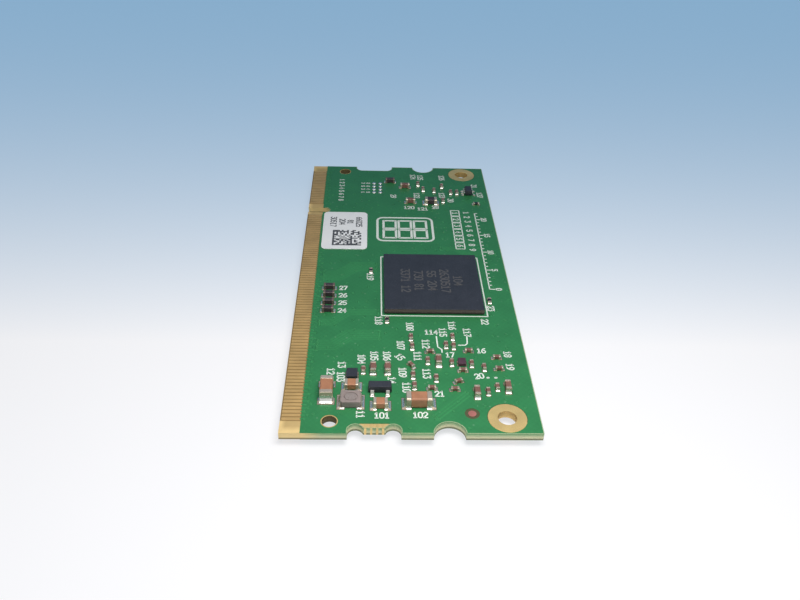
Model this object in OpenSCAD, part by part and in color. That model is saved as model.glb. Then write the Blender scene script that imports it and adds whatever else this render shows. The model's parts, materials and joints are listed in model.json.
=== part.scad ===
// Computer module on a card that plugs in by its contact edge, in millimetres.
// +X runs from the contact edge to the back edge, +Y along the contact edge, +Z up out of the parts side.
// The origin is the middle of the footprint, at the level of the underside packages that it lies on.
// Places on the board are given as distances from the contact edge and from the near short edge.

/* [Board] */
// Width from the contact edge to the back edge
board_w = 31; // [30:0.5:36]
// Length along the contact edge
board_l = 67.6; // [66.6:0.2:74]
// Thickness of the bare laminate
board_t = 1; // [0.8:0.1:1.6]
// Thickness of the solder mask and of the copper in its openings
coat_t = 0.04; // [0.03:0.01:0.08]
// Gap between a copper land and the mask around it
mask_gap = 0.06; // [0.04:0.01:0.1]

/* [Contact edge] */
// Pitch of the contacts
contact_pitch = 0.6; // [0.5:0.05:0.8]
// Width of one contact
contact_w = 0.45; // [0.3:0.01:0.48]
// Length of one contact
contact_l = 2.25; // [1.8:0.05:2.6]
// Distance from the board's edge to the contacts
contact_setback = 0.15; // [0.1:0.05:0.4]
// Distance from a short edge to the first contact's middle
contact_margin = 2.3; // [2:0.1:3]
// Distance from the near short edge to the middle of the key notch
key_v = 51.5; // [40:0.1:54]
// Width of the key notch
key_w = 1.5; // [1:0.1:2]
// Depth of the key notch
key_depth = 3.6; // [3:0.1:4.2]
// Distance from the key notch's middle to the last near contact
key_near = 1.8; // [1.4:0.1:2.4]
// Distance from the key notch's middle to the first far contact
key_far = 2.4; // [1.6:0.1:3]

/* [Edge notches] */
// Distance from the contact edge to the latch notches
latch_u = 20; // [18.5:0.5:21]
// Radius of the half-round latch notches
latch_r = 1.9; // [1.5:0.1:2.2]
// Distance from the contact edge to the middle of the panel notches
panel_u = 11.1; // [10.6:0.1:11.6]
// Length of the panel notches
panel_l = 6.4; // [5.6:0.1:7]
// Depth of the panel notches
panel_depth = 1.45; // [1.2:0.05:1.7]
// Radius of the ends of the panel notch that has no tab
panel_r = 1.05; // [0.8:0.05:1.2]
// Width of the break-off tab in the near panel notch
tab_w = 2.5; // [2:0.1:3]
// How far the tab stands out of the notch's floor
tab_out = 0.65; // [0.4:0.05:0.9]
// Width of one gold strip on the tab
tab_strip_w = 0.26; // [0.15:0.01:0.35]
// Number of gold strips on the tab
tab_strips = 4; // [2:1:4]
// Pitch of the gold strips
tab_strip_pitch = 0.7; // [0.5:0.05:0.8]
// How far the mask keeps clear of the tab
tab_clear = 0.5; // [0.1:0.05:0.8]
// How far the gold strips run in past the notch's floor
strip_reach = 0.1; // [0.05:0.05:0.3]

/* [Holes] */
// Bore of the plated mounting holes
mount_hole_d = 2.3; // [2:0.1:2.7]
// Diameter of the gold rings round the mounting holes
mount_ring_d = 4.7; // [4:0.1:5]
// Distance from the back edge to the mounting holes
mount_from_back = 4; // [3:0.1:4.5]
// Distance from a short edge to the mounting holes
mount_from_end = 2.6; // [2.6:0.1:3]
// Wall of the plating in the mounting holes
barrel_t = 0.05; // [0.03:0.01:0.1]
// Bore of the bare tooling holes
tool_hole_d = 1.8; // [1.4:0.1:2]
// Distance from the contact edge to the tooling holes
tool_u = 5.8; // [5.4:0.1:6]
// Distance from a short edge to the tooling holes
tool_from_end = 1.95; // [1.6:0.05:2.2]
// Width of the ring that the mask leaves bare round a tooling hole
tool_relief = 0.17; // [0.1:0.01:0.25]
// Diameter of the fiducial dot
fiducial_d = 1; // [0.6:0.1:1.2]
// Diameter of the mask opening round the fiducial dot
fiducial_open_d = 1.8; // [1.6:0.1:2.2]
// Distance from the near mounting hole to the fiducial, towards the contact edge
fiducial_side = 4.15; // [3.8:0.05:4.6]
// Distance from the near mounting hole to the fiducial, away from the near edge
fiducial_in = 0.7; // [0:0.1:1.5]

/* [Ball grid packages] */
// Side of the square processor package
processor_w = 14; // [12:0.5:15]
// Seated height of the processor package
processor_h = 0.95; // [0.8:0.05:1.3]
// Side of the square memory package
memory_w = 12; // [10:0.5:12.5]
// Seated height of the memory package
memory_h = 1; // [0.8:0.05:1.2]
// Width of the flash package
flash_w = 11.5; // [10:0.5:13]
// Length of the flash package
flash_l = 13; // [11:0.5:14]
// Seated height of the flash package
flash_h = 1; // [0.8:0.05:1.2]
// Thickness of the packages' substrates
substrate_t = 0.2; // [0.12:0.02:0.3]
// Height of the solder balls
ball_h = 0.22; // [0.16:0.02:0.3]
// Ball pitch of the processor
processor_pitch = 0.8; // [0.6:0.05:1]
// Ball pitch of the memory and the flash
storage_pitch = 0.5; // [0.5:0.05:0.8]
// Distance from a package's edge to its outer balls
ball_border = 0.6; // [0.5:0.05:0.9]
// Diameter of a ball, as a share of its pitch
ball_share = 0.6; // [0.5:0.02:0.7]
// Diameter of a ball's soldered foot, as a share of the ball's
ball_foot_share = 0.75; // [0.6:0.05:0.9]
// Gap between an underside package and the middle of the capacitors beside it
decoupling_gap = 2.7; // [2:0.1:3]
// Pitch of those capacitors
decoupling_pitch = 1.9; // [1.7:0.1:2]
// Distance from a package's edges to the dimple at its first pin
dimple_inset = 1.2; // [0.8:0.1:1.6]
// Radius of the dimple
dimple_r = 0.4; // [0.2:0.05:0.5]
// Depth of the dimple
dimple_t = 0.05; // [0.03:0.01:0.08]

/* [Chip parts] */
// Length of the large capacitors
large_l = 3.1; // [2.8:0.1:3.4]
// Width of the large capacitors
large_w = 1.6; // [1.2:0.1:1.8]
// Height of the large capacitors
large_h = 1.5; // [0.8:0.1:1.8]
// Length of the medium capacitors
medium_l = 1.7; // [1.5:0.1:2.2]
// Width of the medium capacitors
medium_w = 1.25; // [1:0.05:1.4]
// Height of the medium capacitors
medium_h = 0.95; // [0.6:0.05:1.4]
// Length of the choke
choke_l = 2; // [1.8:0.1:2.2]
// Width of the choke
choke_w = 1.25; // [1:0.05:1.4]
// Height of the choke
choke_h = 0.95; // [0.6:0.05:1.2]
// Length of the small chips
small_l = 1.6; // [1.4:0.05:1.7]
// Width of the small chips
small_w = 0.75; // [0.7:0.05:0.9]
// Height of the small chips
small_h = 0.8; // [0.5:0.05:0.9]
// Length of the tiny chips
tiny_l = 1; // [0.8:0.05:1.1]
// Width of the tiny chips
tiny_w = 0.5; // [0.4:0.02:0.6]
// Height of the tiny chips
tiny_h = 0.5; // [0.3:0.05:0.6]
// Height of the tiny resistors
resistor_h = 0.35; // [0.25:0.05:0.45]
// Length of the large capacitors' metal ends
large_end = 0.6; // [0.4:0.05:0.8]
// Length of the medium capacitors' metal ends
medium_end = 0.35; // [0.25:0.05:0.5]
// Length of the choke's metal ends
choke_end = 0.45; // [0.3:0.05:0.55]
// Length of the small chips' metal ends
small_end = 0.3; // [0.24:0.02:0.4]
// Length of the tiny chips' metal ends
tiny_end = 0.22; // [0.16:0.02:0.28]
// How far the metal ends stand proud of the ceramic
end_proud = 0.02; // [0.01:0.005:0.04]
// Chamfer of a chip's long edges, as a share of its height
chip_edge = 0.1; // [0.05:0.01:0.15]
// Length of a solder fillet, as a share of the chip's width, or of twice its height if that is less
fillet_share = 0.3; // [0.2:0.05:0.4]
// Height of a solder fillet, as a share of the chip's height
fillet_rise = 0.6; // [0.4:0.05:0.8]
// Width of a solder fillet, as a share of the chip's width
fillet_width = 0.94; // [0.8:0.02:1]
// Thickness of a fillet's toe, as a share of its height
fillet_toe = 0.12; // [0.05:0.01:0.2]
// Width of the solder beads beside the ends of the larger chips
side_bead = 0.18; // [0.1:0.01:0.2]
// Height of those beads, as a share of the chip's height
side_rise = 0.25; // [0.2:0.05:0.4]
// Border of a land round the metal end and its fillet
land_border = 0.04; // [0.02:0.01:0.08]

/* [Inductor] */
// Length of the power inductor
inductor_l = 2.6; // [2:0.1:2.7]
// Width of the power inductor
inductor_w = 2.1; // [1.6:0.1:2.2]
// Height of the power inductor
inductor_h = 1; // [0.8:0.1:1.5]
// Length of the oval resin face
resin_l = 1.5; // [1:0.1:1.6]
// Width of the oval resin face
resin_w = 1.2; // [0.8:0.1:1.3]
// Depth of the resin in the core
resin_t = 0.12; // [0.05:0.01:0.2]
// Groove between the resin and the core
resin_gap = 0.07; // [0.04:0.01:0.1]
// How far the resin lies below the core's face
resin_drop = 0.02; // [0.01:0.01:0.04]
// Chamfer of the core's upright corners
core_edge = 0.16; // [0.08:0.02:0.24]
// Thickness of the inductor's terminals
terminal_t = 0.08; // [0.05:0.01:0.12]
// Length of a terminal under the core
terminal_l = 0.55; // [0.4:0.05:0.7]
// Height of a terminal up the core's end
terminal_h = 0.55; // [0.3:0.05:0.7]

/* [Leaded chips] */
// Length of the transistor's body
transistor_l = 2.9; // [2.7:0.1:3]
// Width of the transistor's body
transistor_w = 1.3; // [1.1:0.1:1.4]
// Height of the transistor's body
transistor_h = 0.95; // [0.7:0.05:1.1]
// Length of the supervisor's body
supervisor_l = 2; // [1.8:0.1:2.2]
// Width of the supervisor's body
supervisor_w = 1.25; // [1.1:0.05:1.4]
// Height of the supervisor's body
supervisor_h = 0.9; // [0.7:0.05:1.1]
// Height of the parting line, as a share of the body's height
parting_share = 0.45; // [0.4:0.05:0.5]
// Reach of a lead out of its body
lead_reach = 0.5; // [0.4:0.05:0.55]
// Thickness of a lead
lead_t = 0.12; // [0.08:0.01:0.16]
// Flat of a lead where it leaves its body
lead_shoulder = 0.12; // [0.08:0.01:0.15]
// Start of a lead's foot, measured from its body
lead_knee = 0.22; // [0.2:0.01:0.28]
// Length of the solder at a lead's toe
lead_fillet = 0.1; // [0.06:0.01:0.14]
// Draft of a moulded body's sides, at its top and bottom
body_draft = 0.09; // [0.04:0.01:0.14]
// Gap between a moulded body and the board
body_lift = 0.06; // [0.03:0.01:0.12]

/* [Leadless chips] */
// Length of the converter chip
converter_l = 1.6; // [1.4:0.1:1.7]
// Width of the converter chip
converter_w = 1.4; // [1.2:0.1:1.5]
// Height of the converter chip
converter_h = 0.6; // [0.4:0.05:0.8]
// Length of the logic chip
logic_l = 1.2; // [1:0.1:1.3]
// Width of the logic chip
logic_w = 1; // [0.8:0.1:1.1]
// Height of the logic chip
logic_h = 0.5; // [0.35:0.05:0.6]
// Thickness of the foot pads under a leadless chip
foot_t = 0.08; // [0.05:0.01:0.12]
// How far the foot pads reach out of a leadless chip
foot_out = 0.05; // [0.02:0.01:0.1]
// Chamfer of a leadless chip's long edges
block_edge = 0.03; // [0.02:0.01:0.06]
// Length of the crystal
crystal_l = 2.5; // [2:0.1:3.2]
// Width of the crystal
crystal_w = 2; // [1.6:0.1:2.5]
// Height of the crystal
crystal_h = 0.7; // [0.5:0.05:0.8]
// Thickness of the crystal's lid
crystal_lid_t = 0.25; // [0.15:0.05:0.3]
// Rim of the crystal's base round its lid
crystal_rim = 0.15; // [0.1:0.05:0.25]
// Corner radius of the crystal's lid
crystal_lid_r = 0.25; // [0.1:0.05:0.4]

/* [Label and pads] */
// Width of the label
label_w = 7.2; // [5:0.2:7.4]
// Length of the label
label_l = 11.4; // [8:0.2:12]
// Thickness of the label
label_t = 0.1; // [0.05:0.01:0.2]
// Corner radius of the label
label_r = 0.8; // [0.3:0.1:1.5]
// Diameter of the bare solder pads
pad_d = 0.7; // [0.4:0.05:0.8]
// Pitch of the bare solder pads
pad_pitch = 1.1; // [1:0.05:1.2]
// Height of the solder dome on a bare pad
pad_dome = 0.06; // [0.03:0.01:0.1]
// Diameter of the dome's flat top
pad_top_d = 0.42; // [0.2:0.02:0.46]

/* [Hidden] */
$fn = 48;
eps = 0.01;
// How far a cut runs past the solid that it cuts
past = 1;

// Levels, upwards: package faces, underside mask, laminate, top mask
under_z = max(memory_h, flash_h);
laminate_z = under_z + coat_t;
laminate_top_z = laminate_z + board_t;
top_z = laminate_top_z + coat_t;

// Two-ended chips: length, width, height, length of a metal end, width of the beads beside it
large = [large_l, large_w, large_h, large_end, side_bead];
medium = [medium_l, medium_w, medium_h, medium_end, side_bead];
choke = [choke_l, choke_w, choke_h, choke_end, side_bead];
small = [small_l, small_w, small_h, small_end, 0];
tiny = [tiny_l, tiny_w, tiny_h, tiny_end, 0];
resistor = [tiny_l, tiny_w, resistor_h, tiny_end, 0];
inductor = [inductor_l, inductor_w, terminal_h, terminal_l, side_bead];

// Other chips: length, width, height
transistor = [transistor_l, transistor_w, transistor_h];
supervisor = [supervisor_l, supervisor_w, supervisor_h];
converter = [converter_l, converter_w, converter_h];
logic = [logic_l, logic_w, logic_h];
crystal = [crystal_l, crystal_w, crystal_h];

// A part's place: distance from the contact edge, from the near edge, and its turn
function far(v) = board_l - v;
across = 0;
along = 90;
bulk_left_at = [5.25, 6.8, along];
bulk_right_at = [16.5, 4.9, across];
input_at = [11.85, 4.55, across];
output_at = [8.3, 7.85, across];
inductor_at = [8.25, 5.15, across];
converter_at = [8.3, 9.95, along];
transistor_at = [11.8, 7.35, across];
logic_at = [22.4, 12.4, along];
supervisor_at = [27.6, far(9.5), along];
choke_at = [20.8, far(13.2), across];
crystal_at = [7.6, 38, across];
processor_at = [19.5, 29.7, across];
memory_at = [19.5, 29.7, across];
flash_at = [17.5, 50, along];
label_at = [6.35, 45, across];
small_capacitors = [
  [10.95, 11.05, along], [12.8, 11.05, along], [19.4, 12.6, along], [23.8, 6.75, along],
  [27.75, 7.75, along], [16.5, far(7.7), across], [17.3, far(13.1), across]
];
tiny_capacitors = [
  [9.7, 10.85, along], [16, 17.5, along], [16.1, 15.6, along], [16, 9.95, along], [16.1, 8, along],
  [18, 12.75, along], [18.9, 9.4, along], [20.6, 15.95, along], [21.6, 17.65, along],
  [21.6, 15.75, along], [21.1, 12.4, along], [23.65, 12.2, along], [25.2, 11.5, along],
  [25.2, 7, along], [26.45, 7.8, along], [18.4, 14.6, across], [18.25, 7.6, across],
  [23.5, 14.8, across], [22.4, 10.95, across], [27.05, 13.5, across], [27.1, 11.3, across],
  [21.1, 7.4, across], [15.85, 11.85, -55], [21.65, 8.85, 20],
  [18.85, far(6.7), along], [19.7, far(8.6), along], [21.6, far(9), along], [23.05, far(7.4), along],
  [22.95, far(12.6), along], [24.5, far(9.6), along], [25.6, far(9.6), along]
];
resistors = [[12.85, 21.3, along], [10.6, 33.3, along], [27.6, 26, along], [28.6, far(13.4), across]];
bead_pitch = 1.8;
ferrite_beads = concat(
  [for (i = [0:3]) [4.6, 23.4 + i * bead_pitch, across]],
  [[13.9, far(5.8), across]]
);

// Underside capacitors: a ring round the memory, a pair beside the flash and a row at the supply
memory_ring = memory_w / 2 + decoupling_gap;
flash_pair_u = flash_at[0] - flash_l / 2 - decoupling_gap;
supply_row_at = [14.85, 12];
function in_row(count) = [for (i = [0:count - 1]) (i - (count - 1) / 2) * decoupling_pitch];
underside_capacitors = concat(
  [for (side = [-1, 1]) for (v = in_row(7)) [memory_at[0] + side * memory_ring, memory_at[1] + v, along]],
  [for (side = [-1, 1]) for (u = in_row(6)) [memory_at[0] + u, memory_at[1] + side * memory_ring, across]],
  [for (side = [-1, 1]) [flash_pair_u, flash_at[1] + side * flash_w / 3, along]],
  [for (u = in_row(4)) [supply_row_at[0] + u, supply_row_at[1], along]]
);

// Chips with two metal ends, grouped by face: [places, size]
top_chips = [
  [[bulk_left_at, bulk_right_at], large], [[input_at, output_at], medium], [[choke_at], choke],
  [small_capacitors, small], [ferrite_beads, small], [tiny_capacitors, tiny], [resistors, resistor],
  [[inductor_at], inductor]
];
underside_chips = [[underside_capacitors, tiny]];

// Leads of the leaded chips: [place along the body, side]
transistor_lead_w = 0.42;
transistor_lead_pitch = 0.95;
transistor_leads_at = [[-transistor_lead_pitch, -1], [transistor_lead_pitch, -1], [0, 1]];
supervisor_lead_w = 0.24;
supervisor_lead_pitch = 0.65;
supervisor_leads_at = concat(
  [for (i = [-1:1]) [i * supervisor_lead_pitch, 1]],
  [for (i = [-1, 1]) [i * supervisor_lead_pitch, -1]]
);

// Foot pads of the leadless chips: [number on a side, pitch, width, length]
converter_feet_row = [3, 0.5, 0.26, 0.4];
logic_feet_row = [2, 0.65, 0.3, 0.3];
crystal_feet_row = [2, 1.6, 0.7, 0.65];

// Bare solder pads of the unfitted header
header_at = [11.6, far(8)];
header_pads_at = [
  for (i = [-0.5, 0.5]) for (j = [-1.5:1.5])
    [header_at[0] + i * pad_pitch, header_at[1] + j * pad_pitch]
];

// Contact edge
mask_u = contact_setback + contact_l + mask_gap;
near_last_v = key_v - key_near;
far_first_v = key_v + key_far;
function steps(from, to) = floor((to - from) / contact_pitch + eps);
contacts_v = concat(
  [for (i = [0:steps(contact_margin, near_last_v)]) near_last_v - i * contact_pitch],
  [for (i = [0:steps(far_first_v, board_l - contact_margin)]) far_first_v + i * contact_pitch]
);

// Mounting, tooling and fiducial places
mount_u = board_w - mount_from_back;
mount_holes_at = [for (v = [mount_from_end, far(mount_from_end)]) [mount_u, v]];
tool_holes_at = [for (v = [tool_from_end, far(tool_from_end)]) [tool_u, v]];
fiducial_at = [mount_u - fiducial_side, mount_from_end + fiducial_in];

// Break-off tab in the near panel notch
tab_edge_v = panel_depth - tab_out;
tab_strips_u = [for (i = [0:tab_strips - 1]) panel_u + (i - (tab_strips - 1) / 2) * tab_strip_pitch];

// Outline of a rectangle that stands on X, with its corners chamfered
function chamfered(w, h, c) = [
  [-w / 2 + c, 0], [w / 2 - c, 0], [w / 2, c], [w / 2, h - c],
  [w / 2 - c, h], [-w / 2 + c, h], [-w / 2, h - c], [-w / 2, c]
];

module rounded_square(w, l, r) {
  square([w - 2 * r, l], center = true);
  square([w, l - 2 * r], center = true);
  for (i = [-1, 1])
    for (j = [-1, 1])
      translate([i * (w / 2 - r), j * (l / 2 - r)])
        circle(r);
}

// Moves from the board's near contact corner to the middle of its footprint
module from_corner(z) {
  translate([-board_w / 2, -board_l / 2, z]) children();
}

module at_top(place) {
  from_corner(top_z) translate([place[0], place[1], 0]) rotate(place[2]) children();
}

module at_underside(place) {
  from_corner(under_z) translate([place[0], place[1], 0]) mirror([0, 0, 1]) rotate(place[2]) children();
}

module flat_at(place) {
  translate([place[0], place[1]]) rotate(place[2]) children();
}

// Bar along X with its long edges chamfered
module chamfered_bar(l, w, h, c) {
  translate([-l / 2, 0, 0])
    rotate([90, 0, 90])
      linear_extrude(l) polygon(chamfered(w, h, c));
}

// Two-ended chips
function fillet_l(size) = fillet_share * min(size[1], 2 * size[2]);

module chip_body(size) {
  body_h = size[2] - 2 * end_proud;
  translate([0, 0, end_proud])
    chamfered_bar(size[0] - 2 * size[3], size[1] - 2 * end_proud, body_h, body_h * chip_edge);
}

module chip_ends(size) {
  for (side = [-1, 1])
    translate([side * (size[0] - size[3]) / 2, 0, 0])
      chamfered_bar(size[3], size[1], size[2], size[2] * chip_edge);
}

// Concave solder fillet against a face at X = 0, running out along +X
module fillet(run, rise, width) {
  toe = rise * fillet_toe;
  curve = [for (a = [0:22.5:90]) [run * (1 - cos(a)), rise - (rise - toe) * sin(a)]];
  translate([0, width / 2, 0])
    rotate([90, 0, 0])
      linear_extrude(width) polygon(concat([[0, 0]], curve, [[run, 0]]));
}

// Fillets outside the metal ends, and beads beside them on the larger chips
module chip_solder(size) {
  for (turn = [0, 180])
    rotate(turn) {
      translate([size[0] / 2, 0, 0]) fillet(fillet_l(size), size[2] * fillet_rise, size[1] * fillet_width);
      if (size[4] > 0)
        for (side = [-1, 1])
          translate([(size[0] - size[3]) / 2, side * size[1] / 2, 0])
            rotate(side * 90) fillet(size[4], size[2] * side_rise, size[3]);
    }
}

module chip_lands(size, grow) {
  inner = size[0] / 2 - size[3];
  outer = size[0] / 2 + fillet_l(size) + land_border;
  width = size[1] + 2 * (size[4] + land_border);
  for (side = [-1, 1])
    translate([side * (inner + outer) / 2, 0])
      square([outer - inner + 2 * grow, width + 2 * grow], center = true);
}

module chips_at_top(places) {
  for (place = places)
    at_top(place) children();
}

// Leaded chips: a body with drafted sides, and leads out of its parting line
function lead_z(size) = body_lift + size[2] * parting_share;

module drafted_profile(w, size) {
  band_low = lead_z(size) - lead_t / 2;
  band_high = lead_z(size) + lead_t / 2;
  half = w / 2;
  polygon([
    [half - body_draft, body_lift], [half, band_low], [half, band_high],
    [half - body_draft, body_lift + size[2]], [body_draft - half, body_lift + size[2]],
    [-half, band_high], [-half, band_low], [body_draft - half, body_lift]
  ]);
}

module moulded_body(size) {
  intersection() {
    rotate([90, 0, 0]) linear_extrude(size[1], center = true) drafted_profile(size[0], size);
    rotate([90, 0, 90]) linear_extrude(size[0], center = true) drafted_profile(size[1], size);
  }
}

// Gull-wing lead, from the side of the body outwards
module lead(size, w) {
  lean = lead_t / 3;
  high = lead_z(size) + lead_t / 2;
  low = lead_z(size) - lead_t / 2;
  translate([w / 2, 0, 0])
    rotate([90, 0, -90])
      linear_extrude(w) polygon([
        [0, low], [-lead_shoulder, low], [-lead_knee, 0], [-lead_reach, 0], [-lead_reach, lead_t],
        [-lead_knee - lean, lead_t], [-lead_shoulder - lean, high], [0, high]
      ]);
}

module at_leads(size, leads_at) {
  for (entry = leads_at)
    translate([entry[0], entry[1] * size[1] / 2, 0])
      rotate(entry[1] > 0 ? 0 : 180) children();
}

module lead_land(w, grow) {
  inner = lead_knee - land_border;
  outer = lead_reach + lead_fillet + land_border;
  translate([0, (inner + outer) / 2])
    square([w + 2 * (land_border + grow), outer - inner + 2 * grow], center = true);
}

// Solder at the toe of a lead
module lead_solder(w) {
  translate([0, lead_reach, 0]) rotate(90) fillet(lead_fillet, lead_t, w);
}

// Leadless chips: a block on two rows of foot pads
module block_body(size) {
  translate([0, 0, foot_t]) chamfered_bar(size[0], size[1], size[2] - foot_t, block_edge);
}

module at_feet(size, row) {
  for (side = [-1, 1])
    for (i = [0:row[0] - 1])
      translate([(i - (row[0] - 1) / 2) * row[1], side * (size[1] / 2 + foot_out - row[3] / 2)])
        children();
}

module feet(size, row) {
  at_feet(size, row)
    translate([-row[2] / 2, -row[3] / 2, 0]) cube([row[2], row[3], foot_t]);
}

module feet_lands(size, row, grow) {
  border = 2 * (land_border + grow);
  at_feet(size, row) square([row[2] + border, row[3] + border], center = true);
}

// Ball grid packages: balls, substrate and mould cap, upwards from the board
module package_mould(w, l, h) {
  base = ball_h + substrate_t;
  difference() {
    translate([-w / 2, -l / 2, base]) cube([w, l, h - base]);
    translate([w / 2 - dimple_inset, l / 2 - dimple_inset, h - dimple_t])
      cylinder(r = dimple_r, h = dimple_t + past);
  }
}

module package_substrate(w, l) {
  translate([-w / 2, -l / 2, ball_h]) cube([w, l, substrate_t]);
}

// Balls in the outer rings of a grid, flattened where they are soldered
module package_balls(w, l, pitch, rings) {
  across_n = floor((w - 2 * ball_border) / pitch + eps) + 1;
  along_n = floor((l - 2 * ball_border) / pitch + eps) + 1;
  ball_r = pitch * ball_share / 2;
  for (i = [0:across_n - 1])
    for (j = [0:along_n - 1])
      if (min(i, j, across_n - 1 - i, along_n - 1 - j) < rings)
        translate([(i - (across_n - 1) / 2) * pitch, (j - (along_n - 1) / 2) * pitch, 0])
          ball(ball_r);
}

module ball(ball_r) {
  waist_h = ball_h / 2;
  foot_r = ball_r * ball_foot_share;
  cylinder(r1 = foot_r, r2 = ball_r, h = waist_h);
  translate([0, 0, waist_h]) cylinder(r1 = ball_r, r2 = foot_r, h = waist_h);
}

// Panel notch, milled either side of the tab by two round-ended slots where it has one
module panel_notch(tab) {
  end_r = tab ? (panel_l - tab_w) / 4 : panel_r;
  end_u = panel_l / 2 - end_r;
  floor_v = tab ? tab_edge_v : panel_depth;
  translate([-end_u, -past]) square([2 * end_u, floor_v + past]);
  for (side = [-1, 1]) {
    translate([side * end_u, panel_depth - end_r]) circle(end_r);
    translate([side * end_u - end_r, -past])
      square([2 * end_r, panel_depth - end_r + past - eps]);
  }
}

module key_notch() {
  key_r = key_w / 2;
  translate([-past, key_v - key_r]) square([key_depth - key_r + past, key_w]);
  translate([key_depth - key_r, key_v]) circle(key_r);
}

// Board outline, with the short edges' notches and the key notch
module board_outline() {
  difference() {
    square([board_w, board_l]);
    for (v = [0, board_l])
      translate([latch_u, v]) circle(latch_r);
    translate([panel_u, 0]) panel_notch(true);
    translate([panel_u, board_l]) mirror([0, 1]) panel_notch(false);
    key_notch();
    for (p = tool_holes_at)
      translate(p) circle(d = tool_hole_d);
    for (p = mount_holes_at)
      translate(p) circle(d = mount_hole_d + 2 * barrel_t);
  }
}

// Mask openings that both faces have
module common_openings() {
  translate([-past, -past]) square([mask_u + past, board_l + 2 * past]);
  for (p = tool_holes_at)
    translate(p) circle(d = tool_hole_d + 2 * tool_relief);
  for (p = mount_holes_at)
    translate(p) circle(d = mount_ring_d + 2 * mask_gap);
}

// Copper lands of the top parts, grown by the mask's gap when they cut the mask
module top_lands(grow) {
  for (group = top_chips)
    for (place = group[0])
      flat_at(place) chip_lands(group[1], grow);
  flat_at(transistor_at) at_leads(transistor, transistor_leads_at) lead_land(transistor_lead_w, grow);
  flat_at(supervisor_at) at_leads(supervisor, supervisor_leads_at) lead_land(supervisor_lead_w, grow);
  flat_at(converter_at) feet_lands(converter, converter_feet_row, grow);
  flat_at(logic_at) feet_lands(logic, logic_feet_row, grow);
}

module underside_lands(grow) {
  for (group = underside_chips)
    for (place = group[0])
      flat_at(place) chip_lands(group[1], grow);
  flat_at(crystal_at) feet_lands(crystal, crystal_feet_row, grow);
}

module tab_relief() {
  translate([panel_u - tab_w / 2 - tab_clear, -past])
    square([tab_w + 2 * tab_clear, panel_depth + strip_reach + past]);
}

module circuit_board() {
  color([0.72, 0.7, 0.48])
    from_corner(laminate_z) linear_extrude(board_t) board_outline();
}

module solder_mask_top() {
  color([0.2, 0.52, 0.3])
    from_corner(laminate_top_z) linear_extrude(coat_t) difference() {
      board_outline();
      common_openings();
      tab_relief();
      translate(fiducial_at) circle(d = fiducial_open_d);
      for (p = header_pads_at)
        translate(p) circle(d = pad_d + 2 * mask_gap);
      top_lands(mask_gap);
    }
}

module solder_mask_underside() {
  color([0.18, 0.47, 0.28])
    from_corner(under_z) linear_extrude(coat_t) difference() {
      board_outline();
      common_openings();
      underside_lands(mask_gap);
    }
}

module contacts(z) {
  for (v = contacts_v)
    from_corner(z)
      translate([contact_setback, v - contact_w / 2, 0]) cube([contact_l, contact_w, coat_t]);
}

module edge_contacts_top() {
  color([0.82, 0.66, 0.36]) contacts(laminate_top_z);
}

module edge_contacts_underside() {
  color([0.82, 0.66, 0.36]) contacts(under_z);
}

// One plated hole: a barrel through the laminate with a ring on each face
module mounting_hole_plating() {
  through = board_t + 2 * coat_t;
  color([0.8, 0.67, 0.4])
    for (p = mount_holes_at)
      from_corner(under_z) translate(p) difference() {
        union() {
          cylinder(d = mount_ring_d, h = coat_t);
          cylinder(d = mount_hole_d + 2 * barrel_t, h = through);
          translate([0, 0, board_t + coat_t]) cylinder(d = mount_ring_d, h = coat_t);
        }
        translate([0, 0, -past]) cylinder(d = mount_hole_d, h = through + 2 * past);
      }
}

// Gold strips over the tab's top face and down its end
module tab_strips_gold() {
  color([0.85, 0.7, 0.38])
    for (u = tab_strips_u)
      from_corner(laminate_z) translate([u - tab_strip_w / 2, tab_edge_v - coat_t, 0]) {
        cube([tab_strip_w, coat_t, board_t + coat_t]);
        translate([0, 0, board_t]) cube([tab_strip_w, tab_out + strip_reach, coat_t]);
      }
}

module fiducial_dot() {
  color([0.8, 0.44, 0.4])
    from_corner(laminate_top_z) translate(fiducial_at) cylinder(d = fiducial_d, h = coat_t);
}

module lands_top() {
  color([0.78, 0.72, 0.55])
    from_corner(laminate_top_z) linear_extrude(coat_t) top_lands(0);
}

module lands_underside() {
  color([0.78, 0.72, 0.55])
    from_corner(under_z) linear_extrude(coat_t) underside_lands(0);
}

module solder_top() {
  color([0.86, 0.87, 0.86]) {
    for (group = top_chips)
      chips_at_top(group[0]) chip_solder(group[1]);
    at_top(transistor_at) at_leads(transistor, transistor_leads_at) lead_solder(transistor_lead_w);
    at_top(supervisor_at) at_leads(supervisor, supervisor_leads_at) lead_solder(supervisor_lead_w);
  }
}

module solder_underside() {
  color([0.86, 0.87, 0.86])
    for (group = underside_chips)
      for (place = group[0])
        at_underside(place) chip_solder(group[1]);
}

module header_pads() {
  color([0.85, 0.85, 0.84])
    for (p = header_pads_at)
      from_corner(laminate_top_z) translate(p) {
        cylinder(d = pad_d, h = coat_t);
        translate([0, 0, coat_t]) cylinder(d1 = pad_d, d2 = pad_top_d, h = pad_dome);
      }
}

module processor_mould() {
  color([0.2, 0.2, 0.23]) at_top(processor_at) package_mould(processor_w, processor_w, processor_h);
}

module processor_substrate() {
  color([0.25, 0.3, 0.2]) at_top(processor_at) package_substrate(processor_w, processor_w);
}

module processor_balls() {
  rings = 4;
  color([0.75, 0.75, 0.76])
    at_top(processor_at) package_balls(processor_w, processor_w, processor_pitch, rings);
}

module memory_mould() {
  color([0.17, 0.17, 0.18]) at_underside(memory_at) package_mould(memory_w, memory_w, memory_h);
}

module memory_substrate() {
  color([0.2, 0.32, 0.2]) at_underside(memory_at) package_substrate(memory_w, memory_w);
}

module memory_balls() {
  rings = 2;
  color([0.75, 0.75, 0.76])
    at_underside(memory_at) package_balls(memory_w, memory_w, storage_pitch, rings);
}

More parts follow.
